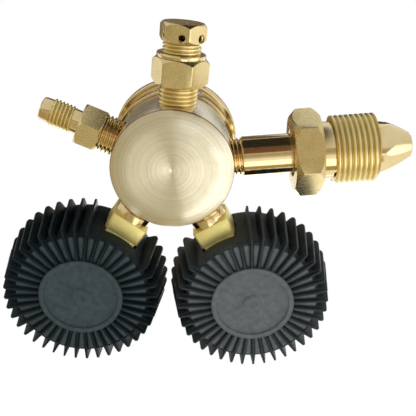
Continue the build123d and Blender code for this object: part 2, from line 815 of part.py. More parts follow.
def bourdon_tube():
    wall = tube_run(0, tube_root_angle, tube_sweep) - tube_run(-tube_wall, tube_root_angle, tube_sweep - 3)
    end = tube_root_angle - tube_sweep
    cap = Rectangle(tube_thickness + 2 * tip_cap_margin, tube_width + 2 * tip_cap_margin)
    tip = Rot(0, 0, end - tip_length_angle) * revolve(
        Plane.XZ * Pos(tube_circle, tube_middle) * cap, Axis.Z, tip_length_angle)
    ear_high = link_low - link_layer_gap
    ear_low = ear_high - tip_ear_thickness
    ear = Pos(tip_pin[0], tip_pin[1], 0) * rod(tip_ear_radius, ear_low, ear_high)
    along = Rot(0, 0, degrees(asin(tip_pin[1] / hypot(*tip_pin))))
    ear += along * block((hypot(*tip_pin), tube_circle), (-tip_ear_radius, tip_ear_radius), (ear_low, ear_high))
    pin = Pos(tip_pin[0], tip_pin[1], 0) * rod(link_pin_radius, ear_low, link_low + link_thickness + 0.1)
    return wall + tip + ear + pin


def gauge_case():
    back = -case_back
    inner = case_radius - case_wall
    outline = [(0, back), (case_radius - 1, back), (case_radius, back + 1), (case_radius, case_front)]
    outline += [(inner, case_front), (inner, back + 1.4), (inner - 0.6, back + case_wall), (0, back + case_wall)]
    shape = turned(outline)
    half = socket_square / 2 - socket_edge + case_slot_gap
    deep = socket_square / 2 + case_slot_gap
    front = bezel_skirt - bezel_room + case_slot_gap
    shape -= block((-half, half), (-case_radius - 1, -case_radius + 4), (-deep, front))
    for x in (-1, 1):
        shape -= Pos(x * case_screw_side, -case_screw_drop, 0) * rod(screw_shank_radius + 0.05, back - 1, back + 2)
    return shape


def case_screws():
    """Two screws from the back of the case through spacers into the socket."""
    shapes = []
    for x in (-1, 1):
        head = rod(screw_head_radius, -case_back + case_wall, -socket_tail_back - seat_gap)
        shank = rod(screw_shank_radius - seat_gap, -case_back, -socket_tail_back + case_screw_hold)
        shapes.append(Pos(x * case_screw_side, -case_screw_drop, 0) * (head + shank))
    return shapes[0] + shapes[1]


def bezel():
    low = bezel_skirt
    inner = case_radius + thread_gap
    window_top = case_front + seat_gap + window_thickness + seat_gap
    edge = bezel_edge
    outline = [(inner, low), (bezel_radius, low), (bezel_radius, bezel_front - edge)]
    outline += [(bezel_radius - edge, bezel_front), (bezel_opening + edge, bezel_front)]
    outline += [(bezel_opening, window_top + edge), (bezel_opening, window_top), (inner, window_top)]
    return turned(outline)


def window():
    low = case_front + seat_gap
    return rod(window_radius, low, low + window_thickness)


# Gauge movement

pinion_pitch_radius = gear_module * pinion_teeth / 2
sector_pitch_radius = gear_module * sector_teeth / 2
sector_drop = pinion_pitch_radius + sector_pitch_radius
upper_plate_low = lower_plate_face + plate_thickness + plate_room
sector_low = lower_plate_face + plate_thickness + sector_height
link_low = sector_low + sector_thickness + link_layer_gap
link_pin = (link_arm * cos(radians(link_rest_angle)), -sector_drop + link_arm * sin(radians(link_rest_angle)))
tip_pin = (tip_pin_reach * cos(radians(tip_pin_angle)), tip_pin_reach * sin(radians(tip_pin_angle)))
dial_top = dial_height + dial_thickness
hub_low = dial_top + pointer_lift
arbor_top = hub_low + 1.4


def toothed(radius, teeth, cut, middle, hub):
    """Flat gear outline: cut teeth of a full circle of teeth, with tooth gaps centred on an angle."""
    addendum = 0.85 * gear_module
    dedendum = 1.15 * gear_module
    pitch = 360 / teeth
    points = []
    for n in range(cut):
        centre = middle + (n - (cut - 1) / 2) * pitch
        half = tooth_share * pitch / 2
        for offset, reach in ((-half * 1.35, -dedendum), (-half, 0), (-half * 0.5, addendum),
                              (half * 0.5, addendum), (half, 0), (half * 1.35, -dedendum)):
            angle = radians(centre + offset)
            points.append(((radius + reach) * cos(angle), (radius + reach) * sin(angle)))
    if cut < teeth:
        points.append(hub)
    return make_face(Polyline(*points, close=True))


def plate_outline(grow=0.0):
    """Rounded triangle over the three pillars."""
    corners = [(-pillar_side, -pillar_drop), (pillar_side, -pillar_drop), (0, pillar_rise)]
    outline = make_face(Polyline(*corners, close=True))
    return offset(outline, amount=plate_margin + grow)


def movement_plates():
    """Two plates with their three pillars riveted between them."""
    low = lower_plate_face + seat_gap
    plate = extrude(plate_outline(), plate_thickness)
    lower = Pos(0, 0, low) * plate
    upper = Pos(0, 0, upper_plate_low) * plate
    shape = lower + upper
    for x, y, top in ((-pillar_side, -pillar_drop, dial_height), (pillar_side, -pillar_drop, dial_height),
                      (0, pillar_rise, upper_plate_low + plate_thickness)):
        shape += Pos(x, y, 0) * rod(pillar_radius, low, top)
    shape -= rod(arbor_radius + running_gap, low - 1, upper_plate_low + 2)
    shape -= Pos(0, -sector_drop, 0) * rod(sector_arbor_radius + running_gap, low - 1, upper_plate_low + 2)
    for x in (-1, 1):
        shape -= Pos(x * movement_screw_side, -movement_screw_drop, 0) * rod(screw_shank_radius, low - 1, low + 2)
        access = rod(screw_head_radius + 0.2, upper_plate_low - 1, upper_plate_low + 2)
        shape -= Pos(x * movement_screw_side, -movement_screw_drop, 0) * access
        shape -= Pos(x * pillar_side, -pillar_drop, 0) * rod(screw_shank_radius, dial_height - 1.6, dial_height + 1)
    return shape


def movement_screws():
    """Two screws from the lower plate into the socket's tail."""
    face = lower_plate_face + seat_gap + plate_thickness
    shapes = []
    for x in (-1, 1):
        screw = rod(screw_head_radius, face, face + screw_head_height)
        screw += rod(screw_shank_radius - seat_gap, lower_plate_face - movement_screw_hold, face)
        slot = block((-2, 2), (-screw_slot / 2, screw_slot / 2), (face + screw_head_height / 2, face + 1))
        shapes.append(Pos(x * movement_screw_side, -movement_screw_drop, 0) * (screw - slot))
    return shapes[0] + shapes[1]


def sector_gear():
    """Toothed sector with its arbor, tail and link pin, at its rest angle."""
    pitch = 360 / sector_teeth
    spare = (sector_cut_teeth - 1) / 2 * pitch
    middle = 90 - spare + 1.5 * pitch
    blade = extrude(toothed(sector_pitch_radius, sector_teeth, sector_cut_teeth, middle, (0, 0)), sector_thickness)
    window_cut = Rot(0, 0, middle) * (Pos(sector_pitch_radius * 0.62, 0) * Rectangle(3.6, 3.0))
    blade -= extrude(window_cut, sector_thickness)
    boss = rod(2.0, 0, sector_thickness)
    tail = Rot(0, 0, link_rest_angle) * block((0, link_arm), (-1.1, 1.1), (0, sector_thickness))
    end = rod(1.2, 0, sector_thickness)
    x = link_arm * cos(radians(link_rest_angle))
    y = link_arm * sin(radians(link_rest_angle))
    shape = blade + boss + tail + Pos(x, y, 0) * end
    shape += Pos(x, y, 0) * rod(link_pin_radius, 0, sector_thickness + link_layer_gap + link_thickness + 0.1)
    shape = Pos(0, -sector_drop, sector_low) * shape
    arbor = rod(sector_arbor_radius, lower_plate_face + 2 * seat_gap, upper_plate_low + plate_thickness)
    return shape + Pos(0, -sector_drop, 0) * arbor


def pointer_arbor():
    """Arbor with the pinion that the sector drives."""
    low = sector_low - 0.4
    high = sector_low + sector_thickness + 0.4
    half_pitch = 180 / pinion_teeth
    outline = toothed(pinion_pitch_radius, pinion_teeth, pinion_teeth, -90 + half_pitch, (0, 0))
    pinion = Pos(0, 0, low) * extrude(outline, high - low)
    return pinion + rod(arbor_radius, lower_plate_face + 2 * seat_gap, arbor_top)


def link_bar():
    """Link from the sector's tail to the tip of the Bourdon tube."""
    run = (tip_pin[0] - link_pin[0], tip_pin[1] - link_pin[1])
    length = hypot(*run)
    lean = degrees(asin(run[1] / length))
    bar = block((0, length), (-link_width / 2, link_width / 2), (0, link_thickness))
    eye = rod(link_eye_radius, 0, link_thickness)
    bar += eye + Pos(length, 0, 0) * eye
    hole = rod(link_pin_radius + running_gap, -1, 1)
    bar = bar - hole - Pos(length, 0, 0) * hole
    return Pos(link_pin[0], link_pin[1], link_low) * Rot(0, 0, lean) * bar


def hairspring():
    """Flat spiral from the arbor to the upper pillar."""
    steps = 30
    total = int(hairspring_turns * steps)
    inside = []
    outside = []
    for n in range(total + 1):
        angle = 2 * pi * n / steps + pi / 2 - 2 * pi * hairspring_turns
        radius = hairspring_inner + hairspring_pitch * n / steps
        inside.append(((radius - hairspring_strip / 2) * cos(angle), (radius - hairspring_strip / 2) * sin(angle)))
        outside.append(((radius + hairspring_strip / 2) * cos(angle), (radius + hairspring_strip / 2) * sin(angle)))
    strip = make_face(Polyline(*(inside + outside[::-1]), close=True))
    low = upper_plate_low - hairspring_height - 0.2
    spiral = Pos(0, 0, low) * extrude(strip, hairspring_height)
    return spiral + tube(hairspring_inner + 0.05, arbor_radius + seat_gap, low, low + hairspring_height)


def dial():
    shape = tube(dial_radius, 2.2, dial_height + seat_gap, dial_top)
    for x in (-1, 1):
        shape -= Pos(x * pillar_side, -pillar_drop, 0) * rod(screw_shank_radius + 0.05, dial_height - 1, dial_top + 1)
    return shape


def dial_screws():
    shapes = []
    for x in (-1, 1):
        screw = rod(screw_head_radius, dial_top, dial_top + screw_head_height)
        screw += rod(screw_shank_radius - seat_gap, dial_height - 1.5, dial_top)
        slot = block((-2, 2), (-screw_slot / 2, screw_slot / 2), (dial_top + screw_head_height / 2, dial_top + 1))
        shapes.append(Pos(x * pillar_side, -pillar_drop, 0) * (screw - slot))
    return shapes[0] + shapes[1]


def pointer():
    """Tapered needle and its hub, at the zero mark."""
    half = pointer_width / 2
    tail = half * 1.2
    tip = pointer_width * 0.08
    outline = [(-pointer_tail, -tail), (0, -half), (pointer_length, -tip), (pointer_length, tip), (0, half)]
    outline += [(-pointer_tail, tail)]
    needle = Pos(0, 0, hub_low + 0.3) * extrude(make_face(Polyline(*outline, close=True)), pointer_thickness)
    shoulder = hub_low + 1.0
    top = hub_low + 1.7
    hub = turned([(0, hub_low), (pointer_hub_radius, hub_low), (pointer_hub_radius, shoulder), (1.4, top), (0, top)])
    shape = needle + hub - rod(arbor_radius + seat_gap, hub_low - 1, arbor_top + seat_gap)
    return Rot(0, 0, pointer_rest_angle) * shape


# Rubber boot

nub_top = recess_back + nub_height
back_edge_height = -boot_back + ledge_height
fin_foot = -case_back - seat_gap - 0.3    # fins grow out of the back wall from here


def boot():
    """Moulded sleeve with radial fins on its back and side and an opening for the stem."""
    inner = case_radius + boot_gap
    bezel_bore = bezel_radius + boot_gap
    lip_base = bezel_front + seat_gap
    outline = [(0, -case_back - seat_gap), (0, -nub_top), (nub_radius - 0.8, -nub_top), (nub_radius, -nub_top + 0.5)]
    outline += [(nub_radius, -recess_back), (ring_inner_radius, -recess_back), (ring_inner_radius, -ring_back)]
    outline += [(ring_outer_radius, -ring_back), (ring_outer_radius, -boot_back), (ledge_radius, -boot_back)]
    outline += [(ledge_radius + 0.2, back_edge_height), (wall_back_radius - 0.6, back_edge_height)]
    outline += [(wall_back_radius, back_edge_height + 0.6), (wall_back_radius + 0.3, wall_swell_height)]
    outline += [(wall_front_radius, bezel_skirt - 0.2), (wall_front_radius, boot_front - 1.2)]
    outline += [(wall_front_radius - 0.8, boot_front), (boot_opening + 0.6, boot_front)]
    outline += [(boot_opening, boot_front - 0.6), (boot_opening, lip_base), (bezel_bore, lip_base)]
    outline += [(bezel_bore, bezel_skirt - 0.2), (inner, bezel_skirt - 0.8), (inner, -case_back - seat_gap)]
    shape = turned(outline)
    shape -= Pos(0, 0, -nub_top - 0.2) * Cone(nub_radius * 0.5, 0.3, 2 * nub_dimple)
    pitch = 360 / fin_count
    sides = around(fin_count, blade(side_fin()), -90 + pitch * (fins_left_out + 1) / 2)
    backs = around(fin_count, blade(back_fin()), -90 - pitch * (fins_left_out - 1) / 2)
    shape = shape.fuse(*sides[: fin_count - fins_left_out], *backs[:fins_left_out])
    half = socket_square / 2 + stem_room
    deep = (-half - boot_gap, half + stem_room_front)
    return shape - block((-half, half), (-fin_tip_radius - 1, -case_radius + 6), deep)


def side_fin():
    """Outline of a fin that runs over the back and down the side."""
    inner = ring_outer_radius - 0.3
    wall_inner = wall_back_radius - 0.4
    front_inner = wall_front_radius - 0.5
    points = [(inner, fin_foot), (inner, -fin_back), (fin_corner_radius - 0.8, -fin_back)]
    points += [(fin_corner_radius, -fin_back + 0.7), (fin_tip_radius, fin_tip_height)]
    points += [(fin_tip_radius - 0.5, fin_tip_height + 2.2), (fin_tip_radius - 1.6, fin_end - 0.8)]
    points += [(front_inner, fin_end), (front_inner, bezel_skirt - 0.4), (wall_inner, wall_swell_height)]
    return points + [(wall_inner, fin_foot)]


def back_fin():
    """Outline of a fin that stops at the edge of the back."""
    inner = ring_outer_radius - 0.3
    outer = wall_back_radius - 0.4
    points = [(inner, fin_foot), (inner, -fin_back), (outer - 0.3, -fin_back)]
    return points + [(outer, -fin_back + 0.6), (outer, fin_foot)]


def blade(outline):
    """One radial fin from its outline, thin across +Y, on the +X side."""
    side = Plane.XZ * make_face(Polyline(*outline, close=True))
    return Pos(0, fin_thickness / 2, 0) * extrude(side, fin_thickness)


# Every piece in its place

pieces = {
    "body": body(),
    "bonnet": bonnet(),
    "valve_nozzle": valve_nozzle(),
    "nozzle_seal": nozzle_seal(),
    "valve_plug": valve_plug(),
    "valve_seat_insert": valve_seat_insert(),
    "valve_pin": valve_pin(),
    "valve_spring": valve_spring(),
    "diaphragm": diaphragm(),
    "diaphragm_washer": diaphragm_washer(),
    "diaphragm_rivet": diaphragm_rivet(),
    "diaphragm_plate": diaphragm_plate(),
    "diaphragm_nut": diaphragm_nut(),
    "diaphragm_ring": diaphragm_ring(),
    "pressure_spring": pressure_spring(),
    "spring_button": spring_button(),
    "adjusting_screw": adjusting_screw(),
    "handle_bar": handle_bar(),
    "inlet_nipple": port(inlet_angle) * inlet_nipple(),
    "inlet_filter": port(inlet_angle) * inlet_filter(),
    "inlet_nut": port(inlet_angle) * inlet_nut(),
    "outlet_adapter": port(outlet_angle) * outlet_adapter(),
    "relief_body": port(relief_angle) * relief_body(),
    "relief_ring": port(relief_angle) * relief_ring(),
    "relief_cap": port(relief_angle) * relief_cap(),
    "relief_disc": port(relief_angle) * relief_disc(),
    "relief_seal": port(relief_angle) * relief_seal(),
    "relief_spring": port(relief_angle) * relief_spring(),
}

gauge_pieces = {
    "gauge_socket": gauge_socket(),
    "bourdon_tube": bourdon_tube(),
    "gauge_case": gauge_case(),
    "case_screws": case_screws(),
    "movement_plates": movement_plates(),
    "movement_screws": movement_screws(),
    "sector_gear": sector_gear(),
    "pointer_arbor": pointer_arbor(),
    "link_bar": link_bar(),
    "hairspring": hairspring(),
    "dial": dial(),
    "dial_screws": dial_screws(),
    "pointer": pointer(),
    "window": window(),
    "bezel": bezel(),
    "boot": boot(),
}

for prefix, angle in (("high", high_gauge_angle), ("low", low_gauge_angle)):
    for name, shape in gauge_pieces.items():
        pieces[f"{prefix}_{name}"] = gauge_place(angle) * shape

to_row_frame = Rot(90, 0, 0) * Pos(-inlet_mount, 0, -port_depth)

os.makedirs("parts", exist_ok=True)
for name, shape in pieces.items():
    export_step(to_row_frame * shape, f"parts/{name}.step")
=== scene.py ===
"""Looks of the two-gauge gas pressure regulator: smooth brass, threads, rubber boots, dials and light.

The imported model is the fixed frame. Sizes below are millimetres and become metres in the mesh.
A fitting is modelled along its own +Z, counted from the body's axis, and a gauge about the middle of
its dial with its stem along -Y. Each is then put in its seat, so that its place is in its mesh.
"""

from __future__ import annotations

import logging
import math
import sys
from collections.abc import Callable
from dataclasses import dataclass, field
from enum import Enum

import bpy
from mathutils import Matrix, Vector


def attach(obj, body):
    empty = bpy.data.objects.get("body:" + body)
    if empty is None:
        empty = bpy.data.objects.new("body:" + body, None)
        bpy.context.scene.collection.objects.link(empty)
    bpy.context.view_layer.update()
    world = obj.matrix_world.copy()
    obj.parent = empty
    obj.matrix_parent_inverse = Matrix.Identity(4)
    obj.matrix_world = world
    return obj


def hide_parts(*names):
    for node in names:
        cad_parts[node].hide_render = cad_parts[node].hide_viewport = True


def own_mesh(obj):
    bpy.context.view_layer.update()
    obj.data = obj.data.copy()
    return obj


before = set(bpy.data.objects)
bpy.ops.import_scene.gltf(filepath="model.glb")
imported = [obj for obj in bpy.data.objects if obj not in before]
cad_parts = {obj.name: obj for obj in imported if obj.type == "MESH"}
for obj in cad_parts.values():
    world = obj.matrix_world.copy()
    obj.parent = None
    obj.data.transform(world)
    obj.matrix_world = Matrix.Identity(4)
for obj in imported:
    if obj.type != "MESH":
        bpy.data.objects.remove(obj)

log = logging.getLogger("regulator")

MM = 0.001
Outline = list[tuple[float, float]]
Colour = tuple[float, float, float]
Socket = bpy.types.NodeSocket
Feed = Socket | float

# Where the regulator's parts meet, as in the part's source
INLET_MOUNT = 63.9
PORT_DEPTH = 9.8
GAUGE_REACH = 58.597
PORT_FLOOR = 13.5


class Body(Enum):
    """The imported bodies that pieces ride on."""

    REGULATOR = "regulator"
    INLET_NUT = "inlet_nut"
    ADJUSTING_SCREW = "adjusting_screw"
    STACK = "diaphragm_stack"


class Port(Enum):
    """Directions of the ports round the body, in degrees from the inlet towards the top."""

    INLET = 0.0
    HIGH_GAUGE = 64.5
    LOW_GAUGE = 130.0
    OUTLET = 208.0
    RELIEF = 279.5


class Cut(Enum):
    """How one solid acts on another."""

    TAKE_AWAY = "DIFFERENCE"
    KEEP_SHARED = "INTERSECT"
    ADD = "UNION"


# Seats


def body_seat() -> Matrix:
    """Own axes of the body: +Z is depth from the back face towards the handle.

    Returns:
        The matrix that carries body coordinates into the regulator's frame.
    """
    columns = (Vector((1, 0, 0)), Vector((0, 0, 1)), Vector((0, -1, 0)))
    return seat(Vector((-INLET_MOUNT, PORT_DEPTH, 0)) * MM, columns)


def port_seat(port: Port) -> Matrix:
    """Own axes of a fitting: +Z leaves the body and +X faces the back.

    Args:
        port: The port the fitting is screwed into.

    Returns:
        The matrix that carries fitting coordinates into the regulator's frame.
    """
    turn = math.radians(port.value)
    outward = Vector((math.cos(turn), 0, math.sin(turn)))
    back = Vector((0, 1, 0))
    return seat(Vector((-INLET_MOUNT, 0, 0)) * MM, (back, outward.cross(back), outward))


def gauge_seat(port: Port) -> Matrix:
    """Own axes of a gauge: +Y leads away from the body and +Z faces whoever reads the dial.

    Args:
        port: The port the gauge is screwed into.

    Returns:
        The matrix that carries gauge coordinates into the regulator's frame.
    """
    turn = math.radians(port.value)
    outward = Vector((math.cos(turn), 0, math.sin(turn)))
    across = Vector((math.sin(turn), 0, -math.cos(turn)))
    middle = outward * GAUGE_REACH + Vector((-INLET_MOUNT, 0, 0))
    return seat(middle * MM, (across, outward, Vector((0, -1, 0))))


def seat(origin: Vector, columns: tuple[Vector, Vector, Vector]) -> Matrix:
    """Builds a placing matrix.

    Args:
        origin: Where the piece's own origin goes, in metres.
        columns: The piece's own X, Y and Z directions.

    Returns:
        The matrix with those columns.
    """
    turned = Matrix(columns).transposed().to_4x4()
    return Matrix.Translation(origin) @ turned


# Modelling by hand


class Workbench:
    """Adds primitives, shapes them in edit mode and puts finished pieces in their seats."""

    def clear(self) -> None:
        """Leaves edit mode and deselects everything."""
        if bpy.context.object and bpy.context.object.mode != "OBJECT":
            bpy.ops.object.mode_set(mode="OBJECT")
        bpy.ops.object.select_all(action="DESELECT")

    def take(self, piece: bpy.types.Object) -> None:
        """Selects one piece alone and makes it active.

        Args:
            piece: The piece to select.
        """
        self.clear()
        piece.select_set(True)
        bpy.context.view_layer.objects.active = piece

    def edit(self, piece: bpy.types.Object, whole: bool = True) -> None:
        """Opens a piece in edit mode.

        Args:
            piece: The piece to open.
            whole: True selects all of it, False none.
        """
        self.take(piece)
        bpy.ops.object.mode_set(mode="EDIT")
        bpy.ops.mesh.select_mode(type="VERT")
        bpy.ops.mesh.select_all(action="SELECT" if whole else "DESELECT")

    def done(self) -> None:
        """Goes back to object mode."""
        bpy.ops.object.mode_set(mode="OBJECT")

    def pick(self, piece: bpy.types.Object, kind: str, wanted: Callable[..., bool]) -> None:
        """Selects the vertices, edges or faces of an open piece that a test accepts.

        Args:
            piece: The piece in edit mode, with nothing selected.
            kind: "VERT", "EDGE" or "FACE".
            wanted: Test that is given the middle of the element and, for a face, its normal.
        """
        bpy.ops.mesh.select_mode(type=kind)
        self.done()
        mesh = piece.data
        if kind == "VERT":
            for vertex in mesh.vertices:
                vertex.select = wanted(vertex.co / MM)
        elif kind == "EDGE":
            for edge in mesh.edges:
                ends = [mesh.vertices[n].co / MM for n in edge.vertices]
                edge.select = wanted(ends[0], ends[1])
        else:
            for face in mesh.polygons:
                face.select = wanted(face.center / MM, face.normal)
        bpy.ops.object.mode_set(mode="EDIT")

    def line(self, name: str, outline: Outline, closed: bool) -> bpy.types.Object:
        """Draws an outline in the XZ plane by extruding one vertex along it.

        Args:
            name: Name of the new piece.
            outline: Points as (x, z), in millimetres.
            closed: True joins the last point to the first.

        Returns:
            The outline, open in edit mode with all of it selected.
        """
        self.clear()
        start = Vector((outline[0][0], 0, outline[0][1])) * MM
        bpy.ops.mesh.primitive_plane_add(size=0.1 * MM, location=(0, 0, 0))
        piece = bpy.context.object
        piece.name = name
        bpy.ops.object.mode_set(mode="EDIT")
        bpy.ops.mesh.select_mode(type="VERT")
        bpy.ops.mesh.select_all(action="SELECT")
        bpy.ops.mesh.merge(type="CENTER")
        bpy.ops.transform.translate(value=start)
        for here, there in zip(outline, outline[1:]):
            step = Vector((there[0] - here[0], 0, there[1] - here[1])) * MM
            bpy.ops.mesh.extrude_vertices_move(TRANSFORM_OT_translate={"value": step})
        if closed:
            self.done()
            for n, vertex in enumerate(piece.data.vertices):
                vertex.select = n in (0, len(outline) - 1)
            bpy.ops.object.mode_set(mode="EDIT")
            bpy.ops.mesh.edge_face_add()
        bpy.ops.mesh.select_all(action="SELECT")
        return piece

    def lathe(self, name: str, outline: Outline, steps: int = 96) -> bpy.types.Object:
        """Turns a piece from its outline of (radius, height) points.

        Args:
            name: Name of the new piece.
            outline: Points in millimetres, from the axis round to the axis, or a closed ring.
            steps: Facets round the axis.

        Returns:
            The closed, turned piece.
        """
        ring = outline[0][0] > 0 or outline[-1][0] > 0
        piece = self.line(name, outline, closed=ring)
        bpy.ops.mesh.spin(steps=steps, angle=2 * math.pi, center=(0, 0, 0), axis=(0, 0, 1))
        self.tidy()
        self.done()
        return piece

    def tidy(self) -> None:
        """Merges doubles and turns the faces of the open piece outwards."""
        bpy.ops.mesh.select_all(action="SELECT")
        bpy.ops.mesh.remove_doubles(threshold=0.0004 * MM)
        bpy.ops.mesh.normals_make_consistent(inside=False)

    def thread(self, name: str, major: float, pitch: float, low: float, high: float) -> bpy.types.Object:
        """Cuts a screw thread as one helix with flat ends.

        Args:
            name: Name of the new piece.
            major: Radius over the crests.
            pitch: Distance between crests.
            low: Height where the thread starts.
            high: Height where it ends.

        Returns:
            The closed, threaded rod.
        """
        root = major - 0.52 * pitch
        outline: Outline = []
        height = low - 2 * pitch
        while height < high + pitch:
            outline += [(root, height), (major, height + 0.30 * pitch), (major, height + 0.56 * pitch)]
            outline += [(root, height + 0.86 * pitch)]
            height += pitch
        outline.append((root, height))
        piece = self.line(name, outline, closed=False)
        self.done()
        screw = piece.modifiers.new("Helix", "SCREW")
        screw.axis = "Z"
        screw.angle = 2 * math.pi
        screw.screw_offset = pitch * MM
        screw.steps = 72
        screw.render_steps = 72
        screw.use_merge_vertices = True
        self.take(piece)
        bpy.ops.object.modifier_apply(modifier=screw.name)
        self.edit(piece)
        bpy.ops.mesh.remove_doubles(threshold=0.002 * MM)
        for height, keep_above in ((low, True), (high, False)):
            bpy.ops.mesh.select_all(action="SELECT")
            bpy.ops.mesh.bisect(plane_co=(0, 0, height * MM), plane_no=(0, 0, 1), use_fill=True,
                                clear_inner=keep_above, clear_outer=not keep_above)
        self.tidy()
        self.done()
        return piece

    def bar(self, name: str, across: float, low: float, high: float, turn: float, sides: int = 6,
            edge: float = 0.15, segments: int = 2) -> bpy.types.Object:
        """Saws a hexagonal or square bar whose long edges are broken.

        Args:
            name: Name of the new piece.
            across: Size across flats.
            low: Height of its lower end.
            high: Height of its upper end.
            turn: Angle of the first flat from +X, in degrees.
            sides: Number of flats.
            edge: Width of the broken edges.
            segments: Faces across a broken edge.

        Returns:
            The closed bar.
        """
        self.clear()
        corner = across / 2 / math.cos(math.pi / sides)
        lean = math.radians(turn) + math.pi / sides - math.pi / 2
        bpy.ops.mesh.primitive_cylinder_add(vertices=sides, radius=corner * MM, depth=(high - low) * MM,
                                            location=(0, 0, (low + high) / 2 * MM), rotation=(0, 0, lean))
        piece = bpy.context.object
        piece.name = name
        bpy.ops.object.transform_apply(location=True, rotation=True, scale=True)
        self.edit(piece, whole=False)
        self.pick(piece, "EDGE", lambda a, b: abs(a.z - b.z) > 0.1)
        bpy.ops.mesh.bevel(offset=edge * MM, segments=segments)
        self.done()
        return piece

    def crowned(self, name: str, across: float, low: float, high: float, turn: float,
                crown: float = 1.0) -> bpy.types.Object:
        """Makes a nut blank: a hexagonal bar whose corners are turned off at both ends.

        Args:
            name: Name of the new piece.
            across: Size across flats.
            low: Height of its lower end.
            high: Height of its upper end.
            turn: Angle of the first flat from +X, in degrees.
            crown: Share of the usual corner that is turned off.

        Returns:
            The closed blank.
        """
        piece = self.bar(name, across, low, high, turn)
        corner = across / 2 / math.cos(math.pi / 6)
        face = across / 2 * 0.98
        drop = (corner - face) * 0.55 * crown
        cone = self.lathe("cone", [(0, low), (face, low), (corner, low + drop), (corner, high - drop),
                                   (face, high), (0, high)])
        self.cut(piece, cone, Cut.KEEP_SHARED)
        return piece

    def cut(self, piece: bpy.types.Object, tool: bpy.types.Object, how: Cut = Cut.TAKE_AWAY) -> None:
        """Works one closed solid with another, which is used up.

        Args:
            piece: The solid that is worked.
            tool: The solid that works it.
            how: What the tool does.
        """
        self.take(piece)
        boolean = piece.modifiers.new("Cut", "BOOLEAN")
        boolean.object = tool
        boolean.operation = how.value
        boolean.solver = "EXACT"
        bpy.ops.object.modifier_apply(modifier=boolean.name)
        bpy.data.objects.remove(tool)

    def round_edges(self, piece: bpy.types.Object, width: float, segments: int = 2,
                    sharper: float = 35) -> None:
        """Rounds the sharp edges of a piece with an applied bevel.

        Args:
            piece: The piece.
            width: Width of the rounding.
            segments: Faces across it.
            sharper: Edges that turn by more than this angle are rounded.
        """
        self.take(piece)
        bevel = piece.modifiers.new("Edges", "BEVEL")
        bevel.width = width * MM
        bevel.segments = segments
        bevel.limit_method = "ANGLE"
        bevel.angle_limit = math.radians(sharper)
        bpy.ops.object.modifier_apply(modifier=bevel.name)

    def join(self, name: str, pieces: list[bpy.types.Object]) -> bpy.types.Object:
        """Makes one piece of several shells.

        Args:
            name: Name of the result.
            pieces: The shells, which are used up.

        Returns:
            The joined piece.
        """
        self.clear()
        for piece in pieces:
            piece.select_set(True)
        bpy.context.view_layer.objects.active = pieces[0]
        if len(pieces) > 1:
            bpy.ops.object.join()
        pieces[0].name = name
        pieces[0].data.name = name
        return pieces[0]

    def seat(self, piece: bpy.types.Object, place: Matrix, smooth: float = 32) -> bpy.types.Object:
        """Puts a finished piece in its seat, with its place in its mesh, and smooths it.

        Args:
            piece: The piece, modelled about its own axes.
            place: The seat's matrix.
            smooth: Edges that turn by less than this angle look round.

        Returns:
            The same piece.
        """
        self.take(piece)
        piece.matrix_world = place
        bpy.ops.object.transform_apply(location=True, rotation=True, scale=True)
        bpy.ops.object.shade_smooth_by_angle(angle=math.radians(smooth))
        return piece

    def swing(self, piece: bpy.types.Object, angle: float, axis: str = "Z",
              about: tuple[float, float, float] = (0, 0, 0)) -> None:
        """Turns a piece's mesh about a line.

        Args:
            piece: The piece.
            angle: Angle in degrees.
            axis: The line's direction.
            about: A point on the line, in millimetres.
        """
        point = Vector(about) * MM
        turn = Matrix.Rotation(math.radians(angle), 4, axis)
        self.take(piece)
        piece.matrix_world = Matrix.Translation(point) @ turn @ Matrix.Translation(-point)
        bpy.ops.object.transform_apply(location=True, rotation=True, scale=True)

    def box(self, name: str, x: tuple[float, float], y: tuple[float, float], z: tuple[float, float],
            edge: float = 0.0) -> bpy.types.Object:
        """Mills a block with rounded edges.

        Args:
            name: Name of the new piece.
            x: Low and high side.
            y: Low and high side.
            z: Low and high side.
            edge: Width of the rounding.

        Returns:
            The closed block.
        """
        self.clear()
        middle = [sum(pair) / 2 * MM for pair in (x, y, z)]
        bpy.ops.mesh.primitive_cube_add(size=1, location=middle)
        piece = bpy.context.object
        piece.name = name
        piece.scale = [(pair[1] - pair[0]) * MM for pair in (x, y, z)]
        bpy.ops.object.transform_apply(location=True, rotation=True, scale=True)
        if edge:
            self.round_edges(piece, edge, 3)
        return piece

    def hand_over(self, piece: bpy.types.Object, body: str, nodes: tuple[str, ...] = ()) -> None:
        """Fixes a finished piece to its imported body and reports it.

        Args:
            piece: The piece, in its place.
            body: Name of the body it rides on.
            nodes: CAD nodes that it stands for.
        """
        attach(piece, body)
        if nodes:
            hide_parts(*nodes)
        log.info("%-22s rides on %-18s %6d faces", piece.name, body, len(piece.data.polygons))


bench = Workbench()


# Finishes


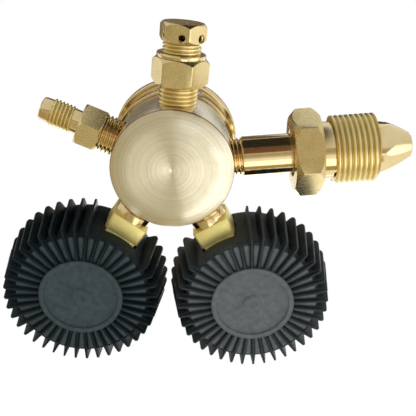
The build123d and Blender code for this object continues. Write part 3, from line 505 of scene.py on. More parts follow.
class Recipe:
    """Node material with a Principled shader, put together node by node."""

    def __init__(self, name: str) -> None:
        """Starts an empty material.

        Args:
            name: Name of the material.
        """
        self.material = bpy.data.materials.new(name)
        self.material.use_nodes = True
        self.tree = self.material.node_tree
        self.tree.nodes.clear()
        self.shader = self.tree.nodes.new("ShaderNodeBsdfPrincipled")
        output = self.tree.nodes.new("ShaderNodeOutputMaterial")
        self.tree.links.new(self.shader.outputs[0], output.inputs[0])

    def add(self, kind: str, inputs: dict | None = None, **settings) -> bpy.types.Node:
        """Adds a node.

        Args:
            kind: Type name without its leading ShaderNode.
            inputs: Values or sockets by input name or number.
            **settings: Properties of the node.

        Returns:
            The node.
        """
        node = self.tree.nodes.new("ShaderNode" + kind)
        for key, value in settings.items():
            setattr(node, key, value)
        for key, value in (inputs or {}).items():
            if isinstance(value, Socket):
                self.tree.links.new(value, node.inputs[key])
            else:
                node.inputs[key].default_value = value
        return node

    def math(self, operation: str, first: Feed, second: Feed = 0.0) -> Socket:
        """Adds a Math node and returns its output."""
        return self.add("Math", {0: first, 1: second}, operation=operation).outputs[0]

    def spread(self, value: Feed, low: float, high: float, to_low: float, to_high: float) -> Socket:
        """Maps a value from one range to another and returns the result's socket."""
        inputs = {"Value": value, "From Min": low, "From Max": high, "To Min": to_low, "To Max": to_high}
        return self.add("MapRange", inputs).outputs[0]

    def blend(self, share: Feed, first: Socket | Colour, second: Socket | Colour) -> Socket:
        """Mixes two colours.

        Args:
            share: Share of the second, as a socket or number.
            first: Colour or socket.
            second: Colour or socket.

        Returns:
            The mixed colour's socket.
        """
        node = self.add("Mix", data_type="RGBA")
        for key, value in ((0, share), (6, first), (7, second)):
            if isinstance(value, Socket):
                self.tree.links.new(value, node.inputs[key])
            elif key == 0:
                node.inputs[key].default_value = value
            else:
                node.inputs[key].default_value = (*value, 1)
        return node.outputs[2]

    def noise(self, vector: Socket, scale: float, detail: float = 3.0) -> Socket:
        """Adds a Noise texture and returns its value socket."""
        return self.add("TexNoise", {"Vector": vector, "Scale": scale, "Detail": detail}).outputs[0]

    def own_axes(self, place: Matrix) -> Socket:
        """Gives the piece's own coordinates.

        Args:
            place: The piece's seat.

        Returns:
            Socket of the coordinates about that seat, in metres.
        """
        where = self.add("TexCoord").outputs["Object"]
        inputs = {"Vector": where, "Location": place.to_translation(), "Rotation": place.to_euler("XYZ")}
        return self.add("Mapping", inputs, vector_type="TEXTURE").outputs[0]

    def set(self, **values) -> None:
        """Sets or links inputs of the shader, named with underscores for spaces."""
        for key, value in values.items():
            socket = self.shader.inputs[key.replace("_", " ")]
            if isinstance(value, Socket):
                self.tree.links.new(value, socket)
            elif isinstance(value, tuple):
                socket.default_value = (*value, 1)
            else:
                socket.default_value = value


@dataclass(frozen=True)
class TurnedBrass:
    """Brass off the lathe: tool marks and rings round an axis, painted shade in the thread roots and a darker
    edge.
    """

    name: str
    slot: str
    colour: Colour
    tarnish: Colour
    roughness: float = 0.2
    marks: float = 2600.0
    mark_depth: float = 0.012
    stretch: float = 0.55
    # Radii of a thread's root and crest, and the colour of the shade painted into its roots.
    roots: tuple[float, float] | None = None
    root_shade_colour: Colour = (0.16, 0.10, 0.03)
    ring_scale: float = 0.11
    ring_tone: float = 0.86
    edge: float | None = None
    edge_colour: Colour = (0.34, 0.19, 0.09)

    def material(self, place: Matrix) -> bpy.types.Material:
        """Makes the finish for pieces in one seat.

        Args:
            place: The seat whose +Z is the lathe's axis.

        Returns:
            The material.
        """
        recipe = Recipe(self.name)
        own = recipe.own_axes(place)
        parts = recipe.add("SeparateXYZ", {0: own})
        flat = recipe.add("CombineXYZ", {0: parts.outputs[0], 1: parts.outputs[1]}).outputs[0]
        radius = recipe.add("VectorMath", {0: flat}, operation="LENGTH").outputs[1]
        across = recipe.math("MULTIPLY", radius, self.marks)
        along = recipe.math("MULTIPLY", parts.outputs[2], self.marks)
        track = recipe.add("CombineXYZ", {0: across, 1: along}).outputs[0]
        marks = recipe.noise(track, 1.0, 4)
        rings = recipe.add("VectorMath", {0: track, 3: self.ring_scale}, operation="SCALE").outputs[0]
        broad = recipe.noise(rings, 1.0, 2)
        stain = recipe.noise(own, 110, 5)
        fine = recipe.noise(own, 900, 3)
        worn = recipe.spread(stain, 0.42, 0.72, 0, 0.55)
        tint = recipe.math("MULTIPLY", worn, recipe.spread(fine, 0.3, 0.7, 0.6, 1.2))
        colour = recipe.blend(tint, self.colour, self.tarnish)
        darker = tuple(value * self.ring_tone for value in self.colour)
        colour = recipe.blend(recipe.spread(broad, 0.4, 0.75, 0, 0.5), colour, darker)
        rough = recipe.spread(marks, 0.25, 0.75, self.roughness * 0.8, self.roughness * 1.25)
        rough = recipe.math("ADD", rough, recipe.spread(stain, 0.4, 0.8, 0, self.roughness * 0.4))
        heights = recipe.math("ADD", recipe.math("MULTIPLY", marks, 1.0), recipe.math("MULTIPLY", broad, 0.6))
        # Painted shade: the colour darkens towards the thread's root, where the crevices fall in shade.
        if self.roots:
            root, crest = (value * MM for value in self.roots)
            depth = recipe.spread(radius, root, crest, 1.0, 0.0)
            colour = recipe.blend(recipe.math("POWER", depth, 1.3), colour, self.root_shade_colour)
        if self.edge:
            outer = recipe.spread(radius, (self.edge - 0.35) * MM, (self.edge - 0.15) * MM, 0.0, 1.0)
            near = recipe.spread(parts.outputs[2], 0.5 * MM, 0.8 * MM, 1.0, 0.0)
            colour = recipe.blend(recipe.math("MULTIPLY", outer, near), colour, self.edge_colour)
        bump = recipe.add("Bump", {"Height": heights, "Strength": 1.0, "Distance": self.mark_depth * MM})
        axis = place.to_3x3().col[2].normalized()
        centre = recipe.add("VectorMath", {0: recipe.add("TexCoord").outputs["Object"],
                                           1: place.to_translation()}, operation="SUBTRACT").outputs[0]
        round_it = recipe.add("VectorMath", {0: tuple(axis), 1: centre}, operation="CROSS_PRODUCT").outputs[0]
        tangent = recipe.add("VectorMath", {0: round_it}, operation="NORMALIZE").outputs[0]
        recipe.set(Base_Color=colour, Metallic=1.0, Roughness=rough, Normal=bump.outputs[0])
        recipe.set(Anisotropic=self.stretch, Anisotropic_Rotation=0.25, Tangent=tangent)
        return recipe.material


@dataclass(frozen=True)
class MilledMetal:
    """Bar stock or plate: drawn lines along one own direction, small pits and a little tarnish."""

    name: str
    slot: str
    colour: Colour
    tarnish: Colour
    roughness: float = 0.24
    grain: tuple[float, float, float] = (1500.0, 1500.0, 60.0)
    depth: float = 0.006
    metallic: float = 1.0

    def material(self, place: Matrix) -> bpy.types.Material:
        """Makes the finish for pieces in one seat.

        Args:
            place: The seat whose axes the drawn lines follow.

        Returns:
            The material.
        """
        recipe = Recipe(self.name)
        own = recipe.own_axes(place)
        drawn = recipe.add("VectorMath", {0: own, 1: self.grain}, operation="MULTIPLY").outputs[0]
        lines = recipe.noise(drawn, 1.0, 3)
        stain = recipe.noise(own, 170, 5)
        pits = recipe.noise(own, 3000, 2)
        worn = recipe.spread(stain, 0.4, 0.72, 0, 0.8)
        colour = recipe.blend(worn, self.colour, self.tarnish)
        spots = recipe.spread(pits, 0.66, 0.76, 0, 0.3)
        colour = recipe.blend(spots, colour, tuple(value * 0.55 for value in self.tarnish))
        rough = recipe.spread(lines, 0.25, 0.75, self.roughness * 0.75, self.roughness * 1.3)
        heights = recipe.math("SUBTRACT", lines, spots)
        bump = recipe.add("Bump", {"Height": heights, "Strength": 1.0, "Distance": self.depth * MM})
        recipe.set(Base_Color=colour, Metallic=self.metallic, Roughness=rough, Normal=bump.outputs[0])
        return recipe.material


@dataclass(frozen=True)
class MouldedRubber:
    """Moulded rubber: matt skin with a fine grain, and a grey bloom that settles in the hollows; on a boot's
    panels the grey is partly painted light and fades into painted shadow beside the fins.
    """

    name: str
    slot: str
    colour: Colour
    bloom: Colour
    roughness: float = 0.5
    hollow: tuple[float, float] | None = None
    fins: int = 40
    recess: float = 13.5
    specular: float = 0.5

    def material(self, place: Matrix) -> bpy.types.Material:
        """Makes the finish for pieces in one seat.

        Args:
            place: The gauge's seat.

        Returns:
            The material.
        """
        recipe = Recipe(self.name)
        own = recipe.own_axes(place)
        skin = recipe.noise(own, 2200, 3)
        cloud = recipe.noise(own, 95, 4)
        dust = recipe.noise(own, 420, 5)
        share = recipe.spread(cloud, 0.35, 0.75, 0.0, 0.4)
        # On a boot, the grey on the panels and the disc is bloom and partly painted light.
        if self.hollow:
            share = recipe.math("MAXIMUM", recipe.math("MULTIPLY", share, 0.4),
                                self.between_fins(recipe, own))
        share = recipe.math("MULTIPLY", share, recipe.spread(dust, 0.3, 0.7, 0.7, 1.15))
        colour = recipe.blend(share, self.colour, self.bloom)
        rough = recipe.spread(dust, 0.3, 0.7, self.roughness * 0.88, self.roughness * 1.15)
        heights = recipe.math("ADD", skin, recipe.math("MULTIPLY", cloud, 2.0))
        bump = recipe.add("Bump", {"Height": heights, "Strength": 0.6, "Distance": 0.02 * MM})
        recipe.set(Base_Color=colour, Roughness=rough, Normal=bump.outputs[0],
                   Specular_IOR_Level=self.specular)
        return recipe.material

    def between_fins(self, recipe: Recipe, own: Socket) -> Socket:
        """Masks the panels between the fins, the disc and the ring, where the grey is bloom and partly
        painted light; the fade at the foot of each fin is painted shadow beside the fin.

        Args:
            recipe: The material being made.
            own: The gauge's own coordinates.

        Returns:
            Socket that is 1 in the middle of a panel.
        """
        parts = recipe.add("SeparateXYZ", {0: own})
        low, high = (value * MM for value in self.hollow)
        panel = recipe.spread(parts.outputs[2], low - 0.4 * MM, low, 0.0, 1.0)
        panel = recipe.math("MULTIPLY", panel,
                            recipe.spread(parts.outputs[2], high, high + 0.2 * MM, 1.0, 0.0))
        turn = recipe.math("ARCTAN2", parts.outputs[1], parts.outputs[0])
        pitches = recipe.math("MULTIPLY", turn, self.fins / 2 / math.pi)
        place = recipe.math("FRACT", recipe.math("ADD", pitches, 40.5))
        away = recipe.math("ABSOLUTE", recipe.math("SUBTRACT", place, 0.5))
        # Painted shadow: the panel's grey fades out towards the foot of each fin.
        panel = recipe.math("MULTIPLY", panel, recipe.spread(away, 0.16, 0.40, 0.2, 1.0))
        flat = recipe.add("CombineXYZ", {0: parts.outputs[0], 1: parts.outputs[1]}).outputs[0]
        radius = recipe.add("VectorMath", {0: flat}, operation="LENGTH").outputs[1]
        disc = recipe.spread(radius, (self.recess - 0.8) * MM, self.recess * MM, 0.75, 0.0)
        disc = recipe.math("MULTIPLY", disc, recipe.spread(parts.outputs[2], -12.5 * MM, -12 * MM, 1.0, 0.0))
        return recipe.math("MAXIMUM", panel, disc)


@dataclass(frozen=True)
class PaintedDial:
    """Baked white enamel with a slight orange-peel, and a faint grey rim that is painted shade."""

    name: str
    slot: str
    colour: Colour
    shade: Colour
    roughness: float = 0.42

    def material(self, place: Matrix) -> bpy.types.Material:
        """Makes the finish for pieces in one seat.

        Args:
            place: The gauge's seat.

        Returns:
            The material.
        """
        recipe = Recipe(self.name)
        own = recipe.own_axes(place)
        parts = recipe.add("SeparateXYZ", {0: own})
        flat = recipe.add("CombineXYZ", {0: parts.outputs[0], 1: parts.outputs[1]}).outputs[0]
        radius = recipe.add("VectorMath", {0: flat}, operation="LENGTH").outputs[1]
        peel = recipe.noise(own, 1500, 2)
        cloud = recipe.noise(own, 80, 3)
        # Painted shade: the dial greys towards its edge, where the case shades it.
        rim = recipe.spread(radius, 19 * MM, 22.3 * MM, 0.0, 0.7)
        share = recipe.math("MAXIMUM", rim, recipe.spread(cloud, 0.45, 0.8, 0.0, 0.35))
        colour = recipe.blend(share, self.colour, self.shade)
        bump = recipe.add("Bump", {"Height": peel, "Strength": 0.5, "Distance": 0.01 * MM})
        rough = recipe.spread(cloud, 0.3, 0.7, self.roughness * 0.85, self.roughness * 1.15)
        recipe.set(Base_Color=colour, Roughness=rough, Normal=bump.outputs[0])
        return recipe.material


@dataclass(frozen=True)
class ClearWindow:
    """Clear window with the faintest haze."""

    name: str
    slot: str
    colour: Colour = (0.97, 0.985, 0.98)

    def material(self, place: Matrix) -> bpy.types.Material:
        """Makes the finish for pieces in one seat.

        Args:
            place: The gauge's seat.

        Returns:
            The material.
        """
        recipe = Recipe(self.name)
        own = recipe.own_axes(place)
        haze = recipe.noise(own, 140, 4)
        rough = recipe.spread(haze, 0.35, 0.8, 0.01, 0.06)
        tint = recipe.blend(recipe.spread(haze, 0.4, 0.7, 0.0, 1.0), self.colour, (0.93, 0.95, 0.94))
        recipe.set(Base_Color=tint, Roughness=rough, Transmission_Weight=1.0, IOR=1.46)
        return recipe.material


Finish = TurnedBrass | MilledMetal | MouldedRubber | PaintedDial | ClearWindow


class Paintshop:
    """Keeps one material per finish and seat, and puts it on pieces."""

    face_brass = TurnedBrass("face_brass", "turned_brass", (0.87, 0.80, 0.60), (0.78, 0.70, 0.48),
                             roughness=0.2, marks=2200, mark_depth=0.020, stretch=0.92,
                             ring_scale=0.45, ring_tone=0.72, edge=21.5)
    turned_brass = TurnedBrass("turned_brass", "fitting_brass", (0.88, 0.71, 0.38), (0.70, 0.50, 0.22),
                               roughness=0.13, marks=2600, mark_depth=0.005, stretch=0.4)
    nut_thread = TurnedBrass("nut_thread", "fitting_brass", (0.95, 0.83, 0.44), (0.86, 0.68, 0.28),
                             roughness=0.34, mark_depth=0.003, stretch=0.2, roots=(11.3, 12.0),
                             root_shade_colour=(0.66, 0.50, 0.20))
    flare_thread = TurnedBrass("flare_thread", "fitting_brass", (0.96, 0.82, 0.42), (0.86, 0.68, 0.28),
                               roughness=0.34, mark_depth=0.003, stretch=0.2, roots=(4.1, 4.6),
                               root_shade_colour=(0.66, 0.50, 0.20))
    relief_thread = TurnedBrass("relief_thread", "fitting_brass", (0.96, 0.82, 0.44), (0.86, 0.66, 0.28),
                                roughness=0.36, mark_depth=0.003, stretch=0.2, roots=(5.9, 6.4),
                                root_shade_colour=(0.68, 0.52, 0.22))
    hex_brass = MilledMetal("hex_brass", "fitting_brass", (0.84, 0.68, 0.34), (0.76, 0.60, 0.28),
                            roughness=0.28, grain=(2600, 2600, 500), depth=0.0007)
    block_brass = MilledMetal("block_brass", "fitting_brass", (0.98, 0.85, 0.34), (0.92, 0.76, 0.26),
                              roughness=0.46, grain=(2200, 2200, 500), depth=0.0006, metallic=0.75)
    inner_brass = MilledMetal("inner_brass", "inner_brass", (0.76, 0.58, 0.28), (0.55, 0.38, 0.15), 0.3)
    bronze = MilledMetal("sintered_bronze", "sintered_bronze", (0.55, 0.33, 0.17), (0.32, 0.18, 0.09), 0.6,
                         grain=(2500, 2500, 2500), depth=0.03)
    spring_steel = MilledMetal("spring_steel", "spring_steel", (0.42, 0.42, 0.43), (0.24, 0.22, 0.20), 0.3)
    handle_steel = TurnedBrass("handle_steel", "handle_steel", (0.66, 0.66, 0.67), (0.42, 0.41, 0.40),
                               roughness=0.22, marks=2400, mark_depth=0.006, stretch=0.4)
    screw_steel = MilledMetal("screw_steel", "screw_steel", (0.50, 0.50, 0.51), (0.30, 0.29, 0.28), 0.3)
    enamel = MilledMetal("case_enamel", "case_steel", (0.012, 0.012, 0.013), (0.03, 0.03, 0.032), 0.32,
                         grain=(500, 500, 500), depth=0.012, metallic=0.0)
    rim_metal = TurnedBrass("rim_metal", "case_steel", (0.055, 0.055, 0.058), (0.02, 0.02, 0.02),
                            roughness=0.28, marks=2000, mark_depth=0.004, stretch=0.3)
    plate = MilledMetal("plate_aluminium", "plate_aluminium", (0.70, 0.71, 0.72), (0.50, 0.50, 0.50), 0.3,
                        grain=(60, 1600, 1600))
    dial_white = PaintedDial("dial_white", "dial_white", (0.86, 0.86, 0.84), (0.66, 0.66, 0.64))
    dial_ink = MilledMetal("dial_ink", "pointer_black", (0.010, 0.010, 0.011), (0.03, 0.03, 0.03), 0.5,
                           grain=(900, 900, 900), depth=0.002, metallic=0.0)
    window = ClearWindow("clear_window", "clear_window")
    boot_rubber = MouldedRubber("boot_rubber", "boot_rubber", (0.004, 0.010, 0.013), (0.078, 0.104, 0.108),
                                roughness=0.5, hollow=(-14.0, -13.5), recess=15.7, specular=0.14)
    # A lighter copy of the boot rubber for the boot on the lamps' side: painted light.
    painted_light_rubber = MouldedRubber("painted_light_rubber", "boot_rubber", (0.012, 0.019, 0.022),
                                   (0.175, 0.200, 0.202),
                                   roughness=0.5, hollow=(-14.0, -13.5), recess=15.7, specular=0.3)
    seal_rubber = MouldedRubber("seal_rubber", "seal_rubber", (0.012, 0.012, 0.012), (0.05, 0.05, 0.05))
    sheet_rubber = MouldedRubber("diaphragm_rubber", "diaphragm_rubber", (0.02, 0.02, 0.02),
                                 (0.07, 0.065, 0.06))
    seat_plastic = MouldedRubber("seat_plastic", "seat_plastic", (0.80, 0.78, 0.70), (0.66, 0.62, 0.52), 0.4)

    def __init__(self) -> None:
        """Starts with no materials mixed."""
        self.mixed: dict[tuple[str, str], bpy.types.Material] = {}

    def mix(self, finish: Finish, place: Matrix) -> bpy.types.Material:
        """Gives the material of a finish for a seat, mixed once.

        Args:
            finish: The finish.
            place: The seat.

        Returns:
            The material.
        """
        key = (finish.name, str([round(value, 5) for row in place for value in row]))
        if key not in self.mixed:
            self.mixed[key] = finish.material(place)
        return self.mixed[key]

    def dress(self, piece: bpy.types.Object, finish: Finish, place: Matrix) -> None:
        """Gives a new piece one finish.

        Args:
            piece: The piece.
            finish: Its finish.
            place: Its seat.
        """
        piece.data.materials.clear()
        piece.data.materials.append(self.mix(finish, place))

    def dress_node(self, node: str, finish: Finish, place: Matrix) -> None:
        """Gives a carried-over CAD node a finish through its material slots.

        Args:
            node: Name of the node.
            finish: Its finish.
            place: Its seat.
        """
        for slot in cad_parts[node].material_slots:
            slot.material = self.mix(finish, place)


shop = Paintshop()


# Sub-assemblies


@dataclass
class BodyAndBonnet:
    """Turned body with its five port holes, and the bonnet that holds the pressure spring."""

    body_radius: float = 21.5
    body_depth: float = 22.6
    back_edge: float = 0.5
    spigot_radius: float = 18.6
    spigot_end: float = 30.0
    chamber_radius: float = 14.5
    chamber_floor: float = 20.0
    port_hole: float = 6.65
    skirt_radius: float = 22.6
    skirt_start: float = 23.2
    skirt_end: float = 33.6
    flange_radius: float = 24.0
    flange_start: float = 34.2
    flange_end: float = 37.4
    barrel_radius: float = 15.5
    barrel_start: float = 45.0
    barrel_end: float = 66.0
    neck_radius: float = 9.0
    neck_end: float = 72.0
    flats: float = 28.0
    place: Matrix = field(default_factory=body_seat)

    def build(self) -> None:
        """Builds and dresses both pieces."""
        self.dress(self.turn_body(), "body", shop.face_brass)
        self.dress(self.turn_bonnet(), "bonnet", shop.turned_brass)

    def turn_body(self) -> bpy.types.Object:
        """Turns the body, with the lathe's centre pip, and drills its ports.

        Returns:
            The body about its own axis.
        """
        face = self.body_radius - self.back_edge
        outline = [(0, 0.12), (0.35, 0.02), (0.6, 0), (8, 0), (15, 0), (face, 0)]
        outline += [(self.body_radius - 0.15, 0.2), (self.body_radius, self.back_edge)]
        outline += [(self.body_radius, self.body_depth), (self.spigot_radius, self.body_depth)]
        outline += [(self.spigot_radius, self.spigot_end), (self.chamber_radius, self.spigot_end)]
        outline += [(self.chamber_radius, self.chamber_floor), (5.6, self.chamber_floor), (5.6, 14)]
        outline += [(5, 14), (5, 4), (0, 4)]
        piece = bench.lathe("body_turned", outline, 144)
        for port in Port:
            hole = bench.lathe("hole", [(0, PORT_FLOOR), (self.port_hole, PORT_FLOOR), (self.port_hole, 21),
                                        (self.port_hole + 0.5, 21.8), (self.port_hole + 0.5, 24), (0, 24)],
                                        64)
            in_body = self.place.inverted() @ port_seat(port)
            bench.take(hole)
            hole.matrix_world = in_body
            bpy.ops.object.transform_apply(location=True, rotation=True, scale=True)
            bench.cut(piece, hole)
        return piece

    def turn_bonnet(self) -> bpy.types.Object:
        """Turns the bonnet, mills its two spanner flats and drills its vent.

        Returns:
            The bonnet about the body's axis.
        """
        inner = self.spigot_radius + 0.05
        groove = self.skirt_radius - 0.8
        outline = [(inner, self.skirt_start), (self.skirt_radius - 0.2, self.skirt_start)]
        outline += [(self.skirt_radius, self.skirt_start + 0.2), (self.skirt_radius, self.skirt_end)]
        outline += [(groove, self.skirt_end), (groove, self.flange_start)]
        outline += self.rounded_flange()
        outline += [(self.barrel_radius + 2.5, self.barrel_start - 1.5),
                    (self.barrel_radius + 0.6, self.barrel_start - 0.6)]
        outline += [(self.barrel_radius, self.barrel_start), (self.barrel_radius, self.barrel_end - 1.5)]
        outline += [(self.barrel_radius - 1.5, self.barrel_end), (self.neck_radius + 0.5, self.barrel_end)]
        outline += [(self.neck_radius, self.barrel_end + 0.5), (self.neck_radius, self.neck_end - 0.8)]
        outline += [(self.neck_radius - 0.8, self.neck_end), (5.06, self.neck_end),
                    (5.06, self.barrel_end - 4)]
        outline += [(12.2, self.barrel_end - 4), (12.2, 35.0), (14.8, 31.8), (inner, 31.8)]
        piece = bench.lathe("bonnet_turned", outline, 128)
        for side in (-1, 1):
            far = sorted((side * (self.barrel_radius + 2), side * self.flats / 2))
            milled = bench.box("flat", (far[0], far[1]), (-20, 20),
                               (self.barrel_end - 9, self.barrel_end + 0.5))
            bench.cut(piece, milled)
        vent = bench.lathe("vent", [(0, 11), (1.2, 11), (1.2, 14.9), (1.7, 15.5), (1.7, 17), (0, 17)], 32)
        bench.swing(vent, 90, "X")
        bench.take(vent)
        vent.matrix_world = Matrix.Translation((0, 0, (self.barrel_start + 4) * MM))
        bpy.ops.object.transform_apply(location=True, rotation=True, scale=True)
        bench.cut(piece, vent)
        return piece

    def rounded_flange(self) -> Outline:
        """Outline of the flange with both corners rounded off.

        Returns:
            The closed outline.
        """
        soft = 0.8
        outline: Outline = []
        for step in range(5):
            lean = math.radians(-90 + 22.5 * step)
            outline.append((self.flange_radius - soft + soft * math.cos(lean),
                            self.flange_start + soft + soft * math.sin(lean)))
        for step in range(5):
            lean = math.radians(22.5 * step)
            outline.append((self.flange_radius - soft + soft * math.cos(lean),
                            self.flange_end - soft + soft * math.sin(lean)))
        return outline

    def dress(self, piece: bpy.types.Object, node: str, finish: Finish) -> None:
        """Seats a piece and gives it its finish.

        Args:
            piece: The piece about the body's axis.
            node: The CAD node it stands for.
            finish: Its finish.
        """
        bench.seat(piece, self.place)
        shop.dress(piece, finish, self.place)
        bench.hand_over(piece, Body.REGULATOR.value, (node,))


@dataclass
class InletFitting:
    """Nipple with its bull nose and filter, and the loose nut that runs round it."""

    stub_radius: float = 6.6
    stub_pitch: float = 1.41
    stub_start: float = 14.5
    tube_start: float = 24.7
    tube_radius: float = 7.05
    nut_start: float = 42.4
    nut_end: float = 52.3
    nut_across: float = 27.0
    nut_turn: float = -20.7
    shank_radius: float = 10.2
    thread_start: float = 56.5
    thread_end: float = 71.3
    thread_radius: float = 12.25
    thread_pitch: float = 1.814
    collar_start: float = 60.8
    collar_radius: float = 9.4
    nose_straight: float = 1.6
    nose_tip: float = 84.4
    nose_end_radius: float = 4.9
    nose_end_round: float = 0.9
    nose_bulge: float = 1.45
    nose_flats: float = 16.6
    nose_turn: float = -34.0
    place: Matrix = field(default_factory=lambda: port_seat(Port.INLET))

    def build(self) -> None:
        """Builds and dresses both pieces."""
        nipple = self.make_nipple()
        bench.seat(nipple, self.place)
        shop.dress(nipple, shop.turned_brass, self.place)
        bench.hand_over(nipple, Body.REGULATOR.value, ("inlet_nipple",))
        nut = self.make_nut()
        bench.seat(nut, self.place)
        nut.data.materials.clear()
        for finish in (shop.hex_brass, shop.turned_brass, shop.nut_thread):
            nut.data.materials.append(shop.mix(finish, self.place))
        turned_from = (self.nut_end - INLET_MOUNT) * MM
        threaded_from = (self.thread_start - INLET_MOUNT) * MM
        for face in nut.data.polygons:
            face.material_index = int(face.center.x > turned_from) + int(face.center.x > threaded_from)
        bench.hand_over(nut, Body.INLET_NUT.value, ("inlet_nut",))
        shop.dress_node("inlet_filter", shop.bronze, self.place)

    def make_nipple(self) -> bpy.types.Object:
        """Turns the nipple, threads its stub and mills the flats on its nose.

        Returns:
            The nipple along its own axis.
        """
        stub = bench.thread("stub", self.stub_radius, self.stub_pitch, self.stub_start, self.tube_start + 0.2)
        bore = bench.lathe("bore", [(0, 10), (3.4, 10), (3.4, 30), (0, 30)], 48)
        bench.cut(stub, bore)
        straight_end = self.thread_end + self.nose_straight
        run = self.nose_tip - self.nose_end_round - straight_end
        narrowing = self.collar_radius - self.nose_end_radius
        outline = [(3.4, self.tube_start + 0.2), (self.tube_radius - 0.3, self.tube_start)]
        outline += [(self.tube_radius, self.tube_start + 0.3), (self.tube_radius, self.collar_start)]
        outline += [(self.collar_radius, self.collar_start)]
        for step in range(16):
            share = step / 15
            outline.append((self.collar_radius - narrowing * share ** self.nose_bulge,
                            straight_end + share * run))
        soft = self.nose_end_round
        outline += [(self.nose_end_radius - 0.2 * soft, self.nose_tip - 0.6 * soft)]
        outline += [(self.nose_end_radius - 0.6 * soft, self.nose_tip - 0.25 * soft)]
        outline += [(self.nose_end_radius - 1.4 * soft, self.nose_tip)]
        outline += [(2.2, self.nose_tip), (1.6, self.nose_tip - 0.6), (1.6, 77.0), (3.4, 77.0)]
        body = bench.lathe("nose", outline)
        for n in range(6):
            lean = self.nose_turn + 60 * n
            side = bench.box("flat", (self.nose_flats / 2, 12), (-12, 12),
                             (straight_end - 1.6, self.nose_tip + 1))
            bench.swing(side, lean)
            bench.cut(body, side)
        return bench.join("inlet_nipple_turned", [body, stub])

    def make_nut(self) -> bpy.types.Object:
        """Makes the nut: chamfered hexagon, plain shank and thread, bored right through.

        Returns:
            The nut along the inlet's axis.
        """
        blank = bench.crowned("blank", self.nut_across, self.nut_start, self.nut_end, self.nut_turn, 1.73)
        inner = self.tube_radius + 0.06
        bore = bench.lathe("bore", [(0, self.nut_start - 1), (8.9, self.nut_start - 1),
                                    (8.4, self.nut_start + 0.3),
                                    (8.4, self.nut_start + 1.2), (inner, self.nut_start + 1.2), (inner, 58),
                                    (0, 58)])
        bench.cut(blank, bore)
        shank = bench.lathe("shank", [(inner, self.nut_end - 0.5), (self.shank_radius, self.nut_end - 0.5),
                                      (self.shank_radius, self.thread_start + 0.4),
                                      (inner, self.thread_start + 0.4)])
        thread = bench.thread("thread", self.thread_radius, self.thread_pitch, self.thread_start,
                              self.thread_end)
        room = bench.lathe("room", [(0, 55), (inner, 55), (inner, 60.5), (9.6, 60.5), (9.6, 73), (0, 73)])
        bench.cut(thread, room)
        return bench.join("inlet_nut_turned", [blank, shank, thread])


@dataclass
class OutletFitting:
    """Adapter with a hexagon and a flared hose thread."""

    stub_radius: float = 6.6
    stub_pitch: float = 1.41
    stub_start: float = 14.5
    hex_start: float = 27.1
    hex_end: float = 35.1
    across: float = 14.0
    turn: float = 48.5
    neck_radius: float = 4.2
    thread_radius: float = 4.76
    thread_pitch: float = 1.27
    thread_start: float = 37.7
    thread_end: float = 45.4
    nose_radius: float = 4.1
    tip: float = 49.0
    bore: float = 1.5
    place: Matrix = field(default_factory=lambda: port_seat(Port.OUTLET))

    def build(self) -> None:
        """Builds and dresses the adapter."""
        stub = bench.thread("stub", self.stub_radius, self.stub_pitch, self.stub_start, self.hex_start + 0.2)
        blank = bench.crowned("blank", self.across, self.hex_start, self.hex_end, self.turn, 1.64)
        neck = bench.lathe("neck", [(0, self.hex_end - 0.3), (self.neck_radius, self.hex_end - 0.3),
                                    (self.neck_radius, self.thread_start + 0.3),
                                    (0, self.thread_start + 0.3)], 64)
        thread = bench.thread("thread", self.thread_radius, self.thread_pitch, self.thread_start,
                              self.thread_end)
        nose = bench.lathe("nose", [(0, self.thread_end - 0.2), (self.nose_radius, self.thread_end - 0.2),
                                    (self.nose_radius, self.thread_end + 0.3), (4.0, self.tip - 1.0),
                                    (3.75, self.tip - 0.3), (3.3, self.tip), (self.bore + 0.9, self.tip),
                                    (self.bore, self.tip - 0.9), (self.bore, self.tip - 3),
                                    (0, self.tip - 3)], 64)
        piece = bench.join("outlet_turned", [blank, stub, neck, thread, nose])
        bench.seat(piece, self.place)
        piece.data.materials.clear()
        for finish in (shop.turned_brass, shop.hex_brass, shop.flare_thread):
            piece.data.materials.append(shop.mix(finish, self.place))
        back = self.place.inverted()
        for face in piece.data.polygons:
            height = (back @ face.center).z / MM
            off_axis = (back @ face.center).xy.length / MM
            if self.hex_start - 0.1 < height < self.hex_end + 0.1 and off_axis > 4.3:
                face.material_index = 1
            elif self.thread_start < height < self.thread_end:
                face.material_index = 2
        bench.hand_over(piece, Body.REGULATOR.value, ("outlet_adapter",))


